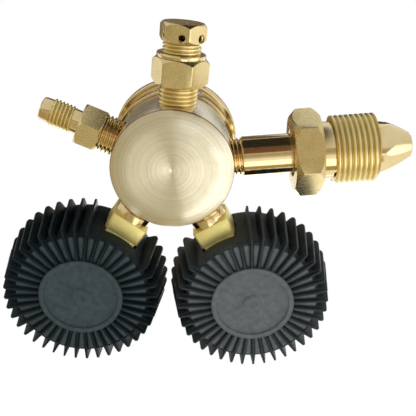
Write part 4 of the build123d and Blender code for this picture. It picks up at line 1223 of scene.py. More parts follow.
@dataclass
class ReliefValve:
    """Relief valve body, lock ring and vented cap."""

    stub_radius: float = 6.6
    stub_pitch: float = 1.41
    stub_start: float = 14.5
    hex_start: float = 28.0
    hex_end: float = 36.9
    across: float = 17.0
    turn: float = -6.0
    ring_radius: float = 8.3
    ring_end: float = 38.42
    thread_radius: float = 6.5
    thread_pitch: float = 1.2
    tail_end: float = 32.42
    cap_start: float = 42.12
    cap_end: float = 48.22
    cap_roof: float = 46.22
    cap_across: float = 14.0
    cap_turn: float = -14.0
    vent_turn: float = 12.0
    vent_height: float = 1.75
    vent_radius: float = 1.05
    vent_sink: float = 1.45
    place: Matrix = field(default_factory=lambda: port_seat(Port.RELIEF))

    def build(self) -> None:
        """Builds and dresses the three pieces."""
        self.dress(self.make_body(), "relief_body", shop.hex_brass, self.hex_start)
        self.dress(self.make_ring(), "relief_ring", shop.turned_brass, 0)
        self.dress(self.make_cap(), "relief_cap", shop.hex_brass, self.cap_start)

    def make_body(self) -> bpy.types.Object:
        """Makes the hexagonal body with its port thread and its well.

        Returns:
            The body along the port's axis.
        """
        stub = bench.thread("stub", self.stub_radius, self.stub_pitch, self.stub_start, self.hex_start + 0.2)
        blank = bench.crowned("blank", self.across, self.hex_start, self.hex_end, self.turn, 1.64)
        well = [(0, 10), (2, 10), (2, 28.4), (2.6, 28.4), (2.6, 27.9), (4.6, 27.9), (4.6, self.tail_end)]
        well += [(6.55, self.tail_end), (6.55, 38), (0, 38)]
        bench.cut(blank, bench.lathe("well", well, 64))
        bench.cut(stub, bench.lathe("well", well, 64))
        return bench.join("relief_body_turned", [blank, stub])

    def make_ring(self) -> bpy.types.Object:
        """Turns the lock ring with rounded rims.

        Returns:
            The ring along the port's axis.
        """
        low = self.hex_end + 0.02
        outline = [(6.55, low), (self.ring_radius - 0.35, low), (self.ring_radius - 0.1, low + 0.1)]
        outline += [(self.ring_radius, low + 0.35), (self.ring_radius, self.ring_end - 0.35)]
        outline += [(self.ring_radius - 0.1, self.ring_end - 0.1), (self.ring_radius - 0.35, self.ring_end)]
        outline += [(6.55, self.ring_end)]
        return bench.lathe("relief_ring_turned", outline)

    def make_cap(self) -> bpy.types.Object:
        """Makes the cap: hexagon with six countersunk vents over a hollow threaded tail.

        Returns:
            The cap along the port's axis.
        """
        tail = bench.thread("tail", self.thread_radius, self.thread_pitch, self.tail_end + 0.02,
                            self.cap_start + 0.2)
        bench.cut(tail, bench.lathe("bore", [(0, 30), (4.6, 30), (4.6, 43), (0, 43)], 64))
        blank = bench.crowned("blank", self.cap_across, self.cap_start, self.cap_end, self.cap_turn, 1.64)
        bench.cut(blank, bench.lathe("bore", [(0, 39), (4.6, 39), (4.6, self.cap_roof), (0, self.cap_roof)],
                                     64))
        reach = self.cap_across / 2
        for n in range(6):
            outline = [(0, 2), (self.vent_radius, 2), (self.vent_radius, reach - 0.4),
                       (self.vent_sink, reach + 0.01)]
            outline += [(self.vent_sink, reach + 1), (0, reach + 1)]
            vent = bench.lathe("vent", outline, 32)
            bench.swing(vent, 90, "Y")
            bench.take(vent)
            lift = Matrix.Translation((0, 0, (self.cap_start + self.vent_height) * MM))
            lean = math.radians(self.cap_turn + self.vent_turn + 60 * n)
            vent.matrix_world = lift @ Matrix.Rotation(lean, 4, "Z")
            bpy.ops.object.transform_apply(location=True, rotation=True, scale=True)
            bench.cut(blank, vent)
        return bench.join("relief_cap_turned", [blank, tail])

    def dress(self, piece: bpy.types.Object, node: str, finish: Finish, hex_from: float) -> None:
        """Seats a piece and gives its hexagon and its turned faces their finishes.

        Args:
            piece: The piece along the port's axis.
            node: The CAD node it stands for.
            finish: Finish of the piece, or of its hexagon.
            hex_from: Height above which the hexagon starts, or 0 where there is none.
        """
        bench.seat(piece, self.place)
        piece.data.materials.clear()
        piece.data.materials.append(shop.mix(finish, self.place))
        piece.data.materials.append(shop.mix(shop.relief_thread, self.place))
        back = self.place.inverted()
        for face in piece.data.polygons:
            height = (back @ face.center).z / MM
            face.material_index = int(bool(hex_from) and height < hex_from - 0.05)
        bench.hand_over(piece, Body.REGULATOR.value, (node,))


@dataclass
class Gauge:
    """One gauge: socket, rubber boot, rim, window, dial with its scale, and pointer."""

    prefix: str
    port: Port
    numbers: tuple[str, ...]
    small_steps: int
    socket_square: float = 14.0
    collar_start: float = 23.2
    square_start: float = 26.4
    square_end: float = 33.1
    collar_radius: float = 6.8
    case_radius: float = 24.4
    bezel_radius: float = 25.2
    bezel_front: float = 9.1
    bezel_low: float = 3.2
    opening: float = 22.1
    window_low: float = 6.12
    window_top: float = 7.72
    window_radius: float = 24.2
    dial_radius: float = 22.3
    dial_low: float = 2.22
    dial_top: float = 2.7
    pointer_angle: float = 225.0
    scale_sweep: float = 270.0
    scale_radius: float = 19.95
    number_radius: float = 14.3
    pointer_length: float = 17.5
    wall_back_radius: float = 25.2
    wall_front_radius: float = 26.4
    boot_back: float = 13.8
    boot_front: float = 10.9
    fins: int = 40
    fins_left_out: int = 5
    fin_root: float = 2.0
    fin_crest: float = 0.75
    fin_foot: float = 13.12
    fin_back: float = 15.4
    fin_corner: float = 28.2
    fin_tip: float = 31.0

    def __post_init__(self) -> None:
        """Works out the gauge's seat."""
        self.place = gauge_seat(self.port)

    def build(self) -> None:
        """Builds and dresses every piece of the gauge."""
        self.make_socket()
        self.make_boot()
        self.make_rim_and_window()
        self.make_dial()
        self.make_pointer()
        self.dress_inner_nodes()

    def finish_piece(self, piece: bpy.types.Object, finish: Finish, nodes: tuple[str, ...],
                     body: str = "regulator", smooth: float = 32) -> None:
        """Seats a piece, gives it its finish and fixes it to its body.

        Args:
            piece: The piece about the gauge's axes.
            finish: Its finish.
            nodes: CAD nodes it stands for.
            body: Body it rides on.
            smooth: Edges that turn by less than this angle look round.
        """
        bench.seat(piece, self.place, smooth)
        shop.dress(piece, finish, self.place)
        bench.hand_over(piece, body, nodes)

    def make_socket(self) -> None:
        """Makes the stem: threaded stub, turned collar, square block and the tail inside the case."""
        own = port_seat(self.port)
        stub = bench.thread("stub", 6.6, 1.41, 14.5, self.collar_start + 0.2)
        collar = bench.lathe("collar", [(0, self.collar_start), (self.collar_radius - 0.6, self.collar_start),
                                        (self.collar_radius - 0.15, self.collar_start + 0.15),
                                        (self.collar_radius, self.collar_start + 0.6),
                                        (self.collar_radius, self.square_start + 0.3),
                                        (0, self.square_start + 0.3)])
        block = bench.bar("block", self.socket_square, self.square_start, self.square_end, 0, 4, edge=0.7,
                          segments=1)
        bench.round_edges(block, 0.1, 2)
        piece = bench.join("shell", [block, stub, collar])
        bench.take(piece)
        piece.matrix_world = self.place.inverted() @ own
        bpy.ops.object.transform_apply(location=True, rotation=True, scale=True)
        half = self.socket_square / 2
        waist = bench.box("waist", (-half + 1, half - 1), (-25.6, -22.8), (-half, 2.9), 0.2)
        tail = bench.box("tail", (-5, 5), (-22.9, -8.2), (-8, -3.4), 0.2)
        pad = bench.box("pad", (-10.8, 5), (-20, -13), (-8, -3.4), 0.2)
        tube_room = bench.lathe("tube_room", [(16.4, -7.9), (18.8, -7.9), (18.8, -0.5), (16.4, -0.5)], 128)
        bench.cut(pad, tube_room)
        piece = bench.join(f"{self.prefix}_socket_turned", [piece, waist, tail, pad])
        bench.seat(piece, self.place)
        piece.data.materials.clear()
        piece.data.materials.append(shop.mix(shop.block_brass, own))
        piece.data.materials.append(shop.mix(shop.turned_brass, own))
        back = own.inverted()
        for face in piece.data.polygons:
            face.material_index = int((back @ face.center).z / MM < self.square_start - 0.05)
        bench.hand_over(piece, Body.REGULATOR.value, (f"{self.prefix}_gauge_socket",))

    def make_boot(self) -> None:
        """Moulds the boot: shell, fins over its back and side, ribs at the stem and the stem's opening."""
        shell = bench.lathe("shell", self.boot_outline(), 160)
        bench.round_edges(shell, 0.18, 2)
        pitch = 360 / self.fins
        kept = self.fins - self.fins_left_out
        fins = self.spread_round(self.fin("fins", whole=True), kept,
                                 -90 + pitch * (self.fins_left_out + 1) / 2)
        ribs = self.spread_round(self.fin("ribs", whole=False), self.fins_left_out,
                                 -90 - pitch * (self.fins_left_out - 1) / 2)
        room = self.socket_square / 2 + 0.3
        opening = bench.box("opening", (-room, room), (-34, -self.case_radius + 6),
                            (-room - 0.1, room + 0.8), 0.5)
        bench.cut(shell, opening)
        piece = bench.join(f"{self.prefix}_boot_moulded", [shell, fins, ribs])
        # The high gauge's boot takes the lighter copy of the rubber, which is painted light.
        finish = shop.painted_light_rubber if self.port is Port.HIGH_GAUGE else shop.boot_rubber
        self.finish_piece(piece, finish, (f"{self.prefix}_boot",), smooth=40)

    def boot_outline(self) -> Outline:
        """Outline of the boot's shell: nub with a dimple, recess, raised ring, ledge, wall and front lip.

        Returns:
            The closed outline of the shell.
        """
        inner = self.case_radius + 0.1
        bezel_bore = self.bezel_radius + 0.1
        mouth = self.opening + 1.0
        lip = self.bezel_front + 0.02
        edge = -self.boot_back + 0.5
        outline = [(0, -12.82), (0, -14.95), (1.2, -15.05), (1.6, -15.35), (2.7, -15.35), (3.5, -14.85)]
        outline += [(3.5, -14.6), (13.6, -14.6), (13.6, -15.5), (15.4, -15.5), (15.4, -self.boot_back)]
        outline += [(self.case_radius - 0.6, -self.boot_back), (self.case_radius - 0.4, edge)]
        outline += [(self.wall_back_radius - 0.6, edge), (self.wall_back_radius, edge + 0.6)]
        outline += [(self.wall_back_radius + 0.3, 1.0), (self.wall_front_radius, self.bezel_low - 0.2)]
        outline += [(self.wall_front_radius, self.boot_front - 1.2),
                    (self.wall_front_radius - 0.8, self.boot_front)]
        outline += [(mouth + 0.6, self.boot_front), (mouth, self.boot_front - 0.6), (mouth, lip),
                    (bezel_bore, lip)]
        outline += [(bezel_bore, self.bezel_low - 0.2), (inner, self.bezel_low - 0.8), (inner, -12.82)]
        return outline

    def fin(self, name: str, whole: bool) -> bpy.types.Object:
        """Moulds one fin, thick at its root and thin at its tip, on the +X side.

        Args:
            name: Name of the new piece.
            whole: True runs it down the side too, False keeps it on the back.

        Returns:
            The fin.
        """
        back, foot, wall = -self.fin_back, -self.fin_foot, self.wall_back_radius - 0.4
        outline = [(15.1, foot), (15.1, back)]
        if whole:
            front = self.wall_front_radius - 0.5
            outline += [(self.fin_corner - 0.8, back), (self.fin_corner, back + 0.7), (29.1, -8.5),
                        (30.1, -2.1)]
            outline += [(self.fin_tip, 4.1), (30.9, 5.3), (30.4, 6.5), (29.4, 7.4), (front, 8.2)]
            outline += [(front, self.bezel_low - 0.4), (wall, 1.0), (wall, foot)]
        else:
            outline += [(wall - 0.3, back), (wall, back + 0.6), (wall, foot)]
        piece = bench.line(name, outline, closed=True)
        bpy.ops.mesh.edge_face_add()
        bpy.ops.mesh.extrude_region_move(TRANSFORM_OT_translate={"value": (0, self.fin_root * MM, 0)})
        bpy.ops.mesh.select_all(action="SELECT")
        bpy.ops.transform.translate(value=(0, -self.fin_root / 2 * MM, 0))
        bpy.ops.mesh.normals_make_consistent(inside=False)
        bpy.ops.mesh.select_all(action="DESELECT")
        bench.pick(piece, "VERT", lambda at: at.z < -14.6 or (at.x > 28.1 and at.z < 7.6))
        bpy.ops.transform.resize(value=(1, self.fin_crest / self.fin_root, 1), center_override=(0, 0, 0))
        bench.done()
        bench.round_edges(piece, 0.12, 2)
        return piece

    def spread_round(self, piece: bpy.types.Object, count: int, start: float) -> bpy.types.Object:
        """Copies a fin round the gauge's axis by a fin's pitch.

        Args:
            piece: The fin on the +X side.
            count: How many there are in all.
            start: Angle of the first.

        Returns:
            All of them as one mesh.
        """
        bench.swing(piece, start)
        if count > 1:
            turn = -math.radians(360 / self.fins * (count - 1))
            bench.edit(piece)
            bpy.ops.mesh.spin(steps=count - 1, dupli=True, angle=turn, center=(0, 0, 0), axis=(0, 0, 1))
            bpy.ops.mesh.select_all(action="SELECT")
            bpy.ops.mesh.normals_make_consistent(inside=False)
            bench.done()
        return piece

    def make_rim_and_window(self) -> None:
        """Turns the rim and the window."""
        inner = self.case_radius + 0.05
        outline = [(inner, self.bezel_low), (self.bezel_radius, self.bezel_low)]
        outline += [(self.bezel_radius, self.bezel_front - 0.5),
                    (self.bezel_radius - 0.2, self.bezel_front - 0.12)]
        outline += [(self.bezel_radius - 0.6, self.bezel_front), (self.opening + 0.7, self.bezel_front)]
        outline += [(self.opening + 0.2, self.bezel_front - 0.25), (self.opening, self.window_top + 0.4)]
        outline += [(self.opening, self.window_top + 0.02), (inner, self.window_top + 0.02)]
        rim = bench.lathe(f"{self.prefix}_rim_turned", outline, 128)
        self.finish_piece(rim, shop.rim_metal, (f"{self.prefix}_bezel",))
        edge = 0.25
        low, top, radius = self.window_low, self.window_top, self.window_radius
        pane = bench.lathe(f"{self.prefix}_window_cut",
                           [(0, low), (radius - edge, low), (radius, low + edge), (radius, top - edge),
                            (radius - edge, top), (0, top)], 128)
        self.finish_piece(pane, shop.window, (f"{self.prefix}_window",))

    def make_dial(self) -> None:
        """Makes the dial plate with its printed scale."""
        plate = bench.lathe(f"{self.prefix}_dial_plate",
                            [(2.2, self.dial_low), (self.dial_radius, self.dial_low),
                             (self.dial_radius, self.dial_top - 0.1),
                             (self.dial_radius - 0.1, self.dial_top), (2.3, self.dial_top),
                             (2.2, self.dial_top - 0.1)], 128)
        for x in (-4.6, 4.6):
            hole = bench.lathe("hole", [(0, 1), (0.65, 1), (0.65, 4), (0, 4)], 24)
            bench.take(hole)
            hole.matrix_world = Matrix.Translation((x * MM, -17 * MM, 0))
            bpy.ops.object.transform_apply(location=True, rotation=True, scale=True)
            bench.cut(plate, hole)
        self.finish_piece(plate, shop.dial_white, (f"{self.prefix}_dial",))
        printed = self.ticks() + self.digits()
        radius = self.scale_radius
        band = bench.lathe("band", [(radius - 0.1, self.dial_top), (radius + 0.15, self.dial_top),
                                    (radius + 0.15, self.dial_top + 0.02),
                                    (radius - 0.1, self.dial_top + 0.02)], 128)
        bench.take(band)
        marks = bench.join(f"{self.prefix}_dial_print", [band] + printed)
        self.finish_piece(marks, shop.dial_ink, ())

    def ticks(self) -> list[bpy.types.Object]:
        """Prints the scale's ticks, long at the numbers.

        Returns:
            The ticks.
        """
        marks = []
        count = (len(self.numbers) - 1) * self.small_steps
        for n in range(count + 1):
            main = n % self.small_steps == 0
            middle = self.small_steps % 2 == 0 and n % (self.small_steps // 2) == 0
            length = 2.8 if main else 2.1 if middle else 1.4
            half = 0.22 if main else 0.1
            tick = bench.box("tick", (self.scale_radius - length, self.scale_radius), (-half, half),
                             (self.dial_top, self.dial_top + 0.02))
            bench.swing(tick, self.pointer_angle - self.scale_sweep * n / count)
            marks.append(tick)
        return marks

    def digits(self) -> list[bpy.types.Object]:
        """Prints the scale's numbers upright inside the ticks.

        Returns:
            The numbers.
        """
        made = []
        for n, text in enumerate(self.numbers):
            lean = math.radians(self.pointer_angle - self.scale_sweep * n / (len(self.numbers) - 1))
            bench.clear()
            bpy.ops.object.text_add(location=(0, 0, 0))
            label = bpy.context.object
            label.data.body = text
            label.data.size = 3.8 * MM
            label.data.align_x = "CENTER"
            label.data.align_y = "CENTER"
            label.data.resolution_u = 3
            label.data.extrude = 0.01 * MM
            bpy.ops.object.convert(target="MESH")
            label = bpy.context.object
            reach = self.number_radius
            label.location = Vector((reach * math.cos(lean), reach * math.sin(lean),
                                     self.dial_top + 0.01)) * MM
            bpy.ops.object.transform_apply(location=True, rotation=True, scale=True)
            bench.edit(label)
            bpy.ops.mesh.remove_doubles(threshold=0.0005 * MM)
            bpy.ops.mesh.normals_make_consistent(inside=False)
            bench.done()
            made.append(label)
        return made

    def make_pointer(self) -> None:
        """Stamps the pointer and turns its hub."""
        low = self.dial_top + 0.9
        hub = bench.lathe("hub", [(0.62, low), (2.1, low), (2.2, low + 0.15), (2.2, low + 0.85),
                                  (2.0, low + 1.0),
                                  (1.5, low + 1.55), (1.3, low + 1.7), (0, low + 1.7), (0, low + 1.42),
                                  (0.62, low + 1.42)], 64)
        needle = bench.box("needle", (-7, self.pointer_length), (-0.75, 0.75), (low + 0.3, low + 0.7))
        bench.edit(needle, whole=False)
        bench.pick(needle, "VERT", lambda at: at.x > 10)
        bpy.ops.transform.resize(value=(1, 0.16, 1), center_override=(0, 0, 0))
        bpy.ops.mesh.select_all(action="DESELECT")
        bench.pick(needle, "VERT", lambda at: at.x < -5)
        bpy.ops.transform.resize(value=(1, 1.2, 1), center_override=(0, 0, 0))
        bench.done()
        bench.round_edges(needle, 0.06, 2)
        room = bench.lathe("room", [(0, low), (1.2, low), (1.2, low + 2), (0, low + 2)], 32)
        bench.cut(needle, room)
        piece = bench.join(f"{self.prefix}_pointer_stamped", [hub, needle])
        bench.swing(piece, self.pointer_angle)
        self.finish_piece(piece, shop.dial_ink, (f"{self.prefix}_pointer",),
                          body=f"{self.prefix}_pointer")

    def dress_inner_nodes(self) -> None:
        """Gives the carried-over pieces of the gauge their finishes."""
        finishes = {
            "bourdon_tube": shop.inner_brass,
            "gauge_case": shop.enamel,
            "case_screws": shop.screw_steel,
            "movement_plates": shop.inner_brass,
            "movement_screws": shop.screw_steel,
            "sector_gear": shop.inner_brass,
            "pointer_arbor": shop.screw_steel,
            "link_bar": shop.inner_brass,
            "hairspring": shop.spring_steel,
            "dial_screws": shop.screw_steel,
        }
        for name, finish in finishes.items():
            shop.dress_node(f"{self.prefix}_{name}", finish, self.place)


@dataclass
class Handle:
    """Adjusting screw with its hub, and the bar pushed through it."""

    thread_radius: float = 5.0
    thread_pitch: float = 1.5
    tip: float = 54.55
    thread_low: float = 56.8
    hub_base: float = 84.5
    hub_radius: float = 7.0
    hub_length: float = 9.0
    bar_radius: float = 3.0
    bar_length: float = 40.0
    bar_turn: float = 10.0
    place: Matrix = field(default_factory=body_seat)

    def build(self) -> None:
        """Builds and dresses the screw and the bar."""
        tip = bench.lathe("tip", [(0, self.tip), (3.2, self.tip), (3.8, self.tip + 0.6),
                                  (3.8, self.thread_low + 0.3), (0, self.thread_low + 0.3)], 64)
        thread = bench.thread("thread", self.thread_radius, self.thread_pitch, self.thread_low,
                              self.hub_base - 1.5)
        top = self.hub_base + self.hub_length
        hub = bench.lathe("hub", [(0, self.hub_base - 1.6), (4.2, self.hub_base - 1.6), (4.2, self.hub_base),
                                  (self.hub_radius - 0.8, self.hub_base),
                                  (self.hub_radius - 0.2, self.hub_base + 0.25),
                                  (self.hub_radius, self.hub_base + 0.8), (self.hub_radius, top - 0.8),
                                  (self.hub_radius - 0.25, top - 0.2), (self.hub_radius - 0.8, top),
                                  (0, top)])
        hole = bench.lathe("hole", [(0, -9), (self.bar_radius + 0.02, -9), (self.bar_radius + 0.02, 9),
                                    (0, 9)], 64)
        self.lay_across(hole)
        bench.cut(hub, hole)
        screw = bench.join("adjusting_screw_turned", [hub, thread, tip])
        bench.seat(screw, self.place)
        shop.dress(screw, shop.turned_brass, self.place)
        bench.hand_over(screw, Body.ADJUSTING_SCREW.value, ("adjusting_screw",))
        self.make_bar()

    def lay_across(self, piece: bpy.types.Object) -> None:
        """Lays a piece made along +Z through the middle of the hub.

        Args:
            piece: The piece to lay.
        """
        bench.take(piece)
        lift = Matrix.Translation((0, 0, (self.hub_base + self.hub_length / 2) * MM))
        lay = Matrix.Rotation(math.radians(self.bar_turn), 4, "Z") @ Matrix.Rotation(math.pi / 2, 4, "Y")
        piece.matrix_world = lift @ lay
        bpy.ops.object.transform_apply(location=True, rotation=True, scale=True)

    def make_bar(self) -> None:
        """Turns the bar with domed ends."""
        half = self.bar_length / 2
        radius = self.bar_radius
        ends: Outline = [(0, half), (1.2, half - 0.15), (2.1, half - 0.5), (2.7, half - 1.0),
                         (radius, half - 1.8)]
        outline = [(r, -z) for r, z in ends] + list(reversed(ends))
        bar = bench.lathe("handle_bar_turned", outline, 64)
        self.lay_across(bar)
        bench.seat(bar, self.place)
        lay = Matrix.Rotation(math.radians(self.bar_turn), 4, "Z") @ Matrix.Rotation(math.pi / 2, 4, "Y")
        lift = Matrix.Translation((0, 0, (self.hub_base + self.hub_length / 2) * MM))
        shop.dress(bar, shop.handle_steel, self.place @ lift @ lay)
        bench.hand_over(bar, Body.ADJUSTING_SCREW.value, ("handle_bar",))


@dataclass(frozen=True)
class CoilSpring:
    """Compression spring of round wire with both ends ground flat."""

    node: str
    wire: float
    radius: float
    low: float
    high: float
    turns: float
    place: Matrix
    joint: str
    travel: float
    held_low: bool = True

    def build(self) -> None:
        """Winds, seats and dresses the spring."""
        spring = self.wind()
        bench.seat(spring, self.place, 60)
        shop.dress(spring, shop.spring_steel, self.place)
        bench.hand_over(spring, Body.REGULATOR.value, (self.node,))
        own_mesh(spring)

    def wind(self) -> bpy.types.Object:
        """Winds the wire and grinds its ends.

        Returns:
            The spring about its own axis.
        """
        bench.clear()
        pitch = (self.high - self.low - self.wire / 2) / self.turns
        start = (self.radius * MM, 0, (self.low - self.wire / 4) * MM)
        bpy.ops.mesh.primitive_circle_add(vertices=16, radius=self.wire / 2 * MM, location=start,
                                          rotation=(math.pi / 2, 0, 0))
        piece = bpy.context.object
        bpy.ops.object.transform_apply(location=True, rotation=True, scale=True)
        screw = piece.modifiers.new("Wind", "SCREW")
        screw.axis = "Z"
        screw.angle = 2 * math.pi
        screw.screw_offset = pitch * MM
        screw.iterations = math.ceil(self.turns + 0.5)
        screw.steps = 48
        screw.render_steps = 48
        bpy.ops.object.modifier_apply(modifier=screw.name)
        bench.edit(piece)
        for height, keep_above in ((self.low, True), (self.high, False)):
            bpy.ops.mesh.select_all(action="SELECT")
            bpy.ops.mesh.bisect(plane_co=(0, 0, height * MM), plane_no=(0, 0, 1), use_fill=True,
                                clear_inner=keep_above, clear_outer=not keep_above)
        bpy.ops.mesh.select_all(action="SELECT")
        bpy.ops.mesh.fill_holes(sides=0)
        bench.tidy()
        bench.done()
        piece.name = f"{self.node}_wound"
        return piece


@dataclass
class InnerWorks:
    """Springs wound as real wire, the rubber diaphragm, and the finishes of the other hidden pieces."""

    sheet_low: float = 30.0
    sheet_top: float = 31.0
    sheet_radius: float = 18.3
    hole_radius: float = 2.02
    plate_radius: float = 11.0
    fold_radius: float = 12.9
    fold_size: float = 1.1
    place: Matrix = field(default_factory=body_seat)

    def build(self) -> None:
        """Winds the springs, moulds the diaphragm and dresses the inner nodes."""
        relief = port_seat(Port.RELIEF)
        springs = (
            CoilSpring("pressure_spring", 2.4, 8.6, 33.0, 51.98, 5.5, self.place, "spring_button_slide", 6.0),
            CoilSpring("valve_spring", 0.55, 2.31, 4.0, 9.03, 3.5, self.place, "valve_slide", 0.8),
            CoilSpring("relief_spring", 0.7, 2.31, 30.07, 46.2, 6.5, relief, "relief_valve_lift", 1.2, False),
        )
        for spring in springs:
            spring.build()
        self.mould_diaphragm()
        for name, finish, place in (
            ("valve_nozzle", shop.inner_brass, self.place), ("nozzle_seal", shop.seal_rubber, self.place),
            ("valve_plug", shop.inner_brass, self.place),
            ("valve_seat_insert", shop.seat_plastic, self.place),
            ("valve_pin", shop.spring_steel, self.place), ("diaphragm_washer", shop.inner_brass, self.place),
            ("diaphragm_rivet", shop.inner_brass, self.place), ("diaphragm_plate", shop.plate, self.place),
            ("diaphragm_nut", shop.inner_brass, self.place), ("diaphragm_ring", shop.inner_brass, self.place),
            ("spring_button", shop.inner_brass, self.place), ("relief_disc", shop.inner_brass, relief),
            ("relief_seal", shop.seal_rubber, relief),
        ):
            shop.dress_node(name, finish, place)

    def mould_diaphragm(self) -> None:
        """Moulds the sheet as a rim held by the body and a middle that moves with the plates."""
        low, top = self.sheet_low, self.sheet_top
        edge = self.plate_radius + 0.1
        rim = [(edge, low)] + self.arch(self.fold_size - 0.3, low)
        rim += [(self.sheet_radius, low), (self.sheet_radius, top)]
        rim += list(reversed(self.arch(self.fold_size, top))) + [(edge, top)]
        middle = [(self.hole_radius, low), (edge - 0.02, low), (edge - 0.02, top), (self.hole_radius, top)]
        for name, outline, body in (("diaphragm_rim", rim, Body.REGULATOR),
                                    ("diaphragm_middle", middle, Body.STACK)):
            sheet = bench.lathe(name, outline)
            bench.seat(sheet, self.place)
            shop.dress(sheet, shop.sheet_rubber, self.place)
            bench.hand_over(sheet, body.value, ("diaphragm",))

    def arch(self, size: float, height: float) -> Outline:
        """Half circle of the fold, from its inner foot over to its outer foot.

        Args:
            size: Radius of the half circle.
            height: Height of its feet.

        Returns:
            Its points as (radius, height).
        """
        turns = [math.pi * n / 12 for n in range(13)]
        return [(self.fold_radius - size * math.cos(turn), height + size * math.sin(turn)) for turn in turns]


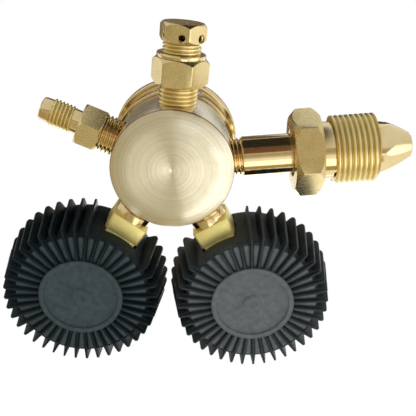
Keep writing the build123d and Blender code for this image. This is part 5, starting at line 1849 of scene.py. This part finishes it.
@dataclass
class Studio:
    """Pale floor, soft lamps, plain background and the camera."""

    lens: float = 51.92
    camera_at: tuple[float, float, float] = (-0.0498, 0.2027, -0.0731)
    camera_up: tuple[float, float, float] = (0.069, -0.415, -0.907)
    camera_back: tuple[float, float, float] = (0.013, 0.910, -0.415)
    middle: tuple[float, float, float] = (-0.062, 0.0, 0.01)
    floor_height: float = -0.086

    def build(self) -> None:
        """Sets up the camera, floor, lamps and world."""
        self.axes = self.camera_axes()
        self.make_camera()
        self.make_floor()
        self.make_world()
        self.make_lamps()
        self.lay_cards()
        bpy.context.scene.view_settings.view_transform = "Standard"

    def camera_axes(self) -> Matrix:
        """Right, up and back directions of the camera.

        Returns:
            Matrix with the three directions as its columns.
        """
        back = Vector(self.camera_back).normalized()
        right = Vector(self.camera_up).cross(back).normalized()
        return Matrix((right, back.cross(right), back)).transposed()

    def make_camera(self) -> None:
        """Puts the camera where the photograph was taken from."""
        data = bpy.data.cameras.new("camera")
        data.lens = self.lens
        data.sensor_width = 36
        data.clip_start = 0.001
        camera = bpy.data.objects.new("camera", data)
        camera.matrix_world = Matrix.Translation(self.camera_at) @ self.axes.to_4x4()
        bpy.context.scene.collection.objects.link(camera)
        bpy.context.scene.camera = camera

    def make_floor(self) -> None:
        """Lays the pale floor."""
        bench.clear()
        bpy.ops.mesh.primitive_plane_add(size=6, location=(0, 0, self.floor_height))
        floor = bpy.context.object
        floor.name = "floor"
        recipe = Recipe("floor_paper")
        where = recipe.add("TexCoord").outputs["Object"]
        tooth = recipe.noise(where, 60, 4)
        colour = recipe.blend(recipe.spread(tooth, 0.3, 0.7, 0, 0.4), (0.86, 0.86, 0.86), (0.80, 0.80, 0.80))
        recipe.set(Base_Color=colour, Roughness=0.8)
        floor.data.materials.append(recipe.material)

    def make_world(self) -> None:
        """Gives a white surround to the lens, metal and glass, and an even grey to the rest."""
        world = bpy.data.worlds.new("studio")
        bpy.context.scene.world = world
        world.use_nodes = True
        tree = world.node_tree
        tree.nodes.clear()
        path = tree.nodes.new("ShaderNodeLightPath")
        direct = tree.nodes.new("ShaderNodeMath")
        direct.operation = "MAXIMUM"
        tree.links.new(path.outputs["Is Camera Ray"], direct.inputs[0])
        tree.links.new(path.outputs["Is Glossy Ray"], direct.inputs[1])
        seen = tree.nodes.new("ShaderNodeMath")
        seen.operation = "MAXIMUM"
        tree.links.new(direct.outputs[0], seen.inputs[0])
        tree.links.new(path.outputs["Is Transmission Ray"], seen.inputs[1])
        fill = tree.nodes.new("ShaderNodeBackground")
        fill.inputs[0].default_value = (0.95, 0.97, 1.0, 1)
        fill.inputs[1].default_value = 0.55
        white = tree.nodes.new("ShaderNodeBackground")
        white.inputs[0].default_value = (1, 1, 1, 1)
        white.inputs[1].default_value = 1.0
        mixed = tree.nodes.new("ShaderNodeMixShader")
        tree.links.new(seen.outputs[0], mixed.inputs[0])
        tree.links.new(fill.outputs[0], mixed.inputs[1])
        tree.links.new(white.outputs[0], mixed.inputs[2])
        output = tree.nodes.new("ShaderNodeOutputWorld")
        tree.links.new(mixed.outputs[0], output.inputs[0])

    def around(self, right: float, up: float, back: float) -> Vector:
        """Point given from the middle of the regulator along the camera's axes, in metres."""
        return Vector(self.middle) + self.axes @ Vector((right, up, back))

    def make_lamps(self) -> None:
        """Hangs the soft boxes round the regulator."""
        lamps = (
            ("right_box", self.around(0.62, -0.10, 0.30), 0.50, 0.9),
            ("left_box", self.around(-0.60, 0.05, 0.35), 0.40, 0.25),
            ("low_box", self.around(0.05, -0.60, 0.35), 0.55, 0.7),
            ("front_box", Vector((0.15, -0.70, 0.35)), 0.50, 2.4),
            ("top_box", Vector((-0.2, -0.05, 0.75)), 0.60, 1.0),
        )
        for name, at, size, power in lamps:
            data = bpy.data.lights.new(name, "AREA")
            data.shape = "SQUARE"
            data.size = size
            data.energy = power
            lamp = bpy.data.objects.new(name, data)
            lamp.location = at
            lamp.rotation_mode = "QUATERNION"
            lamp.rotation_quaternion = (Vector(self.middle) - at).to_track_quat("-Z", "Y")
            bpy.context.scene.collection.objects.link(lamp)

    def lay_cards(self) -> None:
        """Lays the cards that polished metal mirrors: four on the floor, the rest upright, left and above."""
        low = self.floor_height + 0.0005
        cards = (
            Card("black_card", (-0.026, -0.008, low), (0.066, 0.105), CardSide.FLOOR, (0.012, 0.010, 0.008)),
            Card("brown_card", (-0.026, 0.095, low), (0.066, 0.10), CardSide.FLOOR, (0.16, 0.075, 0.035)),
            Card("umber_card", (-0.143, -0.22, low), (0.274, 0.30), CardSide.FLOOR, (0.13, 0.085, 0.05)),
            Card("shade_card", (-0.10, -0.42, 0.02), (0.60, 0.30), CardSide.UPRIGHT, (0.14, 0.09, 0.055)),
            Card("tan_card", (-0.055, 0.365, low), (0.60, 0.40), CardSide.FLOOR, (0.50, 0.40, 0.24)),
            Card("dim_card", (-0.34, 0.15, 0.14), (0.44, 0.50), CardSide.LEFT, (0.46, 0.36, 0.18)),
            Card("gold_card", (-0.055, 0.30, 0.42), (0.50, 0.24), CardSide.ABOVE, (0.50, 0.38, 0.18)),
            Card("khaki_card", (-0.38, 0.50, 0.22), (0.60, 0.56), CardSide.UPRIGHT, (0.54, 0.48, 0.33)),
        )
        for card in cards:
            card.lay()


class CardSide(Enum):
    """Which way a card lies."""

    FLOOR = "floor"
    LEFT = "left"
    ABOVE = "above"
    UPRIGHT = "upright"


@dataclass(frozen=True)
class Card:
    """Matt card beside the regulator, seen only in polished metal and glass."""

    name: str
    middle: tuple[float, float, float]
    size: tuple[float, float]
    side: CardSide
    colour: Colour

    def lay(self) -> None:
        """Lays the card in its place."""
        bench.clear()
        lean = (0, 0, 0)
        size = (*self.size, 1)
        if self.side is CardSide.LEFT:
            lean = (0, math.pi / 2, 0)
            size = (self.size[1], self.size[0], 1)
        elif self.side is CardSide.UPRIGHT:
            lean = (math.pi / 2, 0, 0)
        bpy.ops.mesh.primitive_plane_add(size=1, location=self.middle, rotation=lean)
        card = bpy.context.object
        card.name = self.name
        card.scale = size
        recipe = Recipe(self.name)
        nap = recipe.noise(recipe.add("TexCoord").outputs["Object"], 6, 3)
        colour = recipe.blend(nap, tuple(value * 0.8 for value in self.colour),
                              tuple(value * 1.25 for value in self.colour))
        recipe.set(Base_Color=colour, Roughness=0.95)
        card.data.materials.append(recipe.material)
        card.visible_camera = False
        card.visible_diffuse = False
        card.visible_shadow = False


def main() -> None:
    """Builds every sub-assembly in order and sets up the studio."""
    logging.basicConfig(level=logging.INFO, format="%(message)s", stream=sys.stdout)
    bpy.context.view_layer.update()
    BodyAndBonnet().build()
    InletFitting().build()
    OutletFitting().build()
    ReliefValve().build()
    Gauge("high", Port.HIGH_GAUGE, ("0", "5", "10", "15", "20", "25", "30"), 5).build()
    Gauge("low", Port.LOW_GAUGE, ("0", "2", "4", "6", "8", "10"), 4).build()
    Handle().build()
    InnerWorks().build()
    Studio().build()
    bench.clear()
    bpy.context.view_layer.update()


if __name__ == "__main__":
    main()
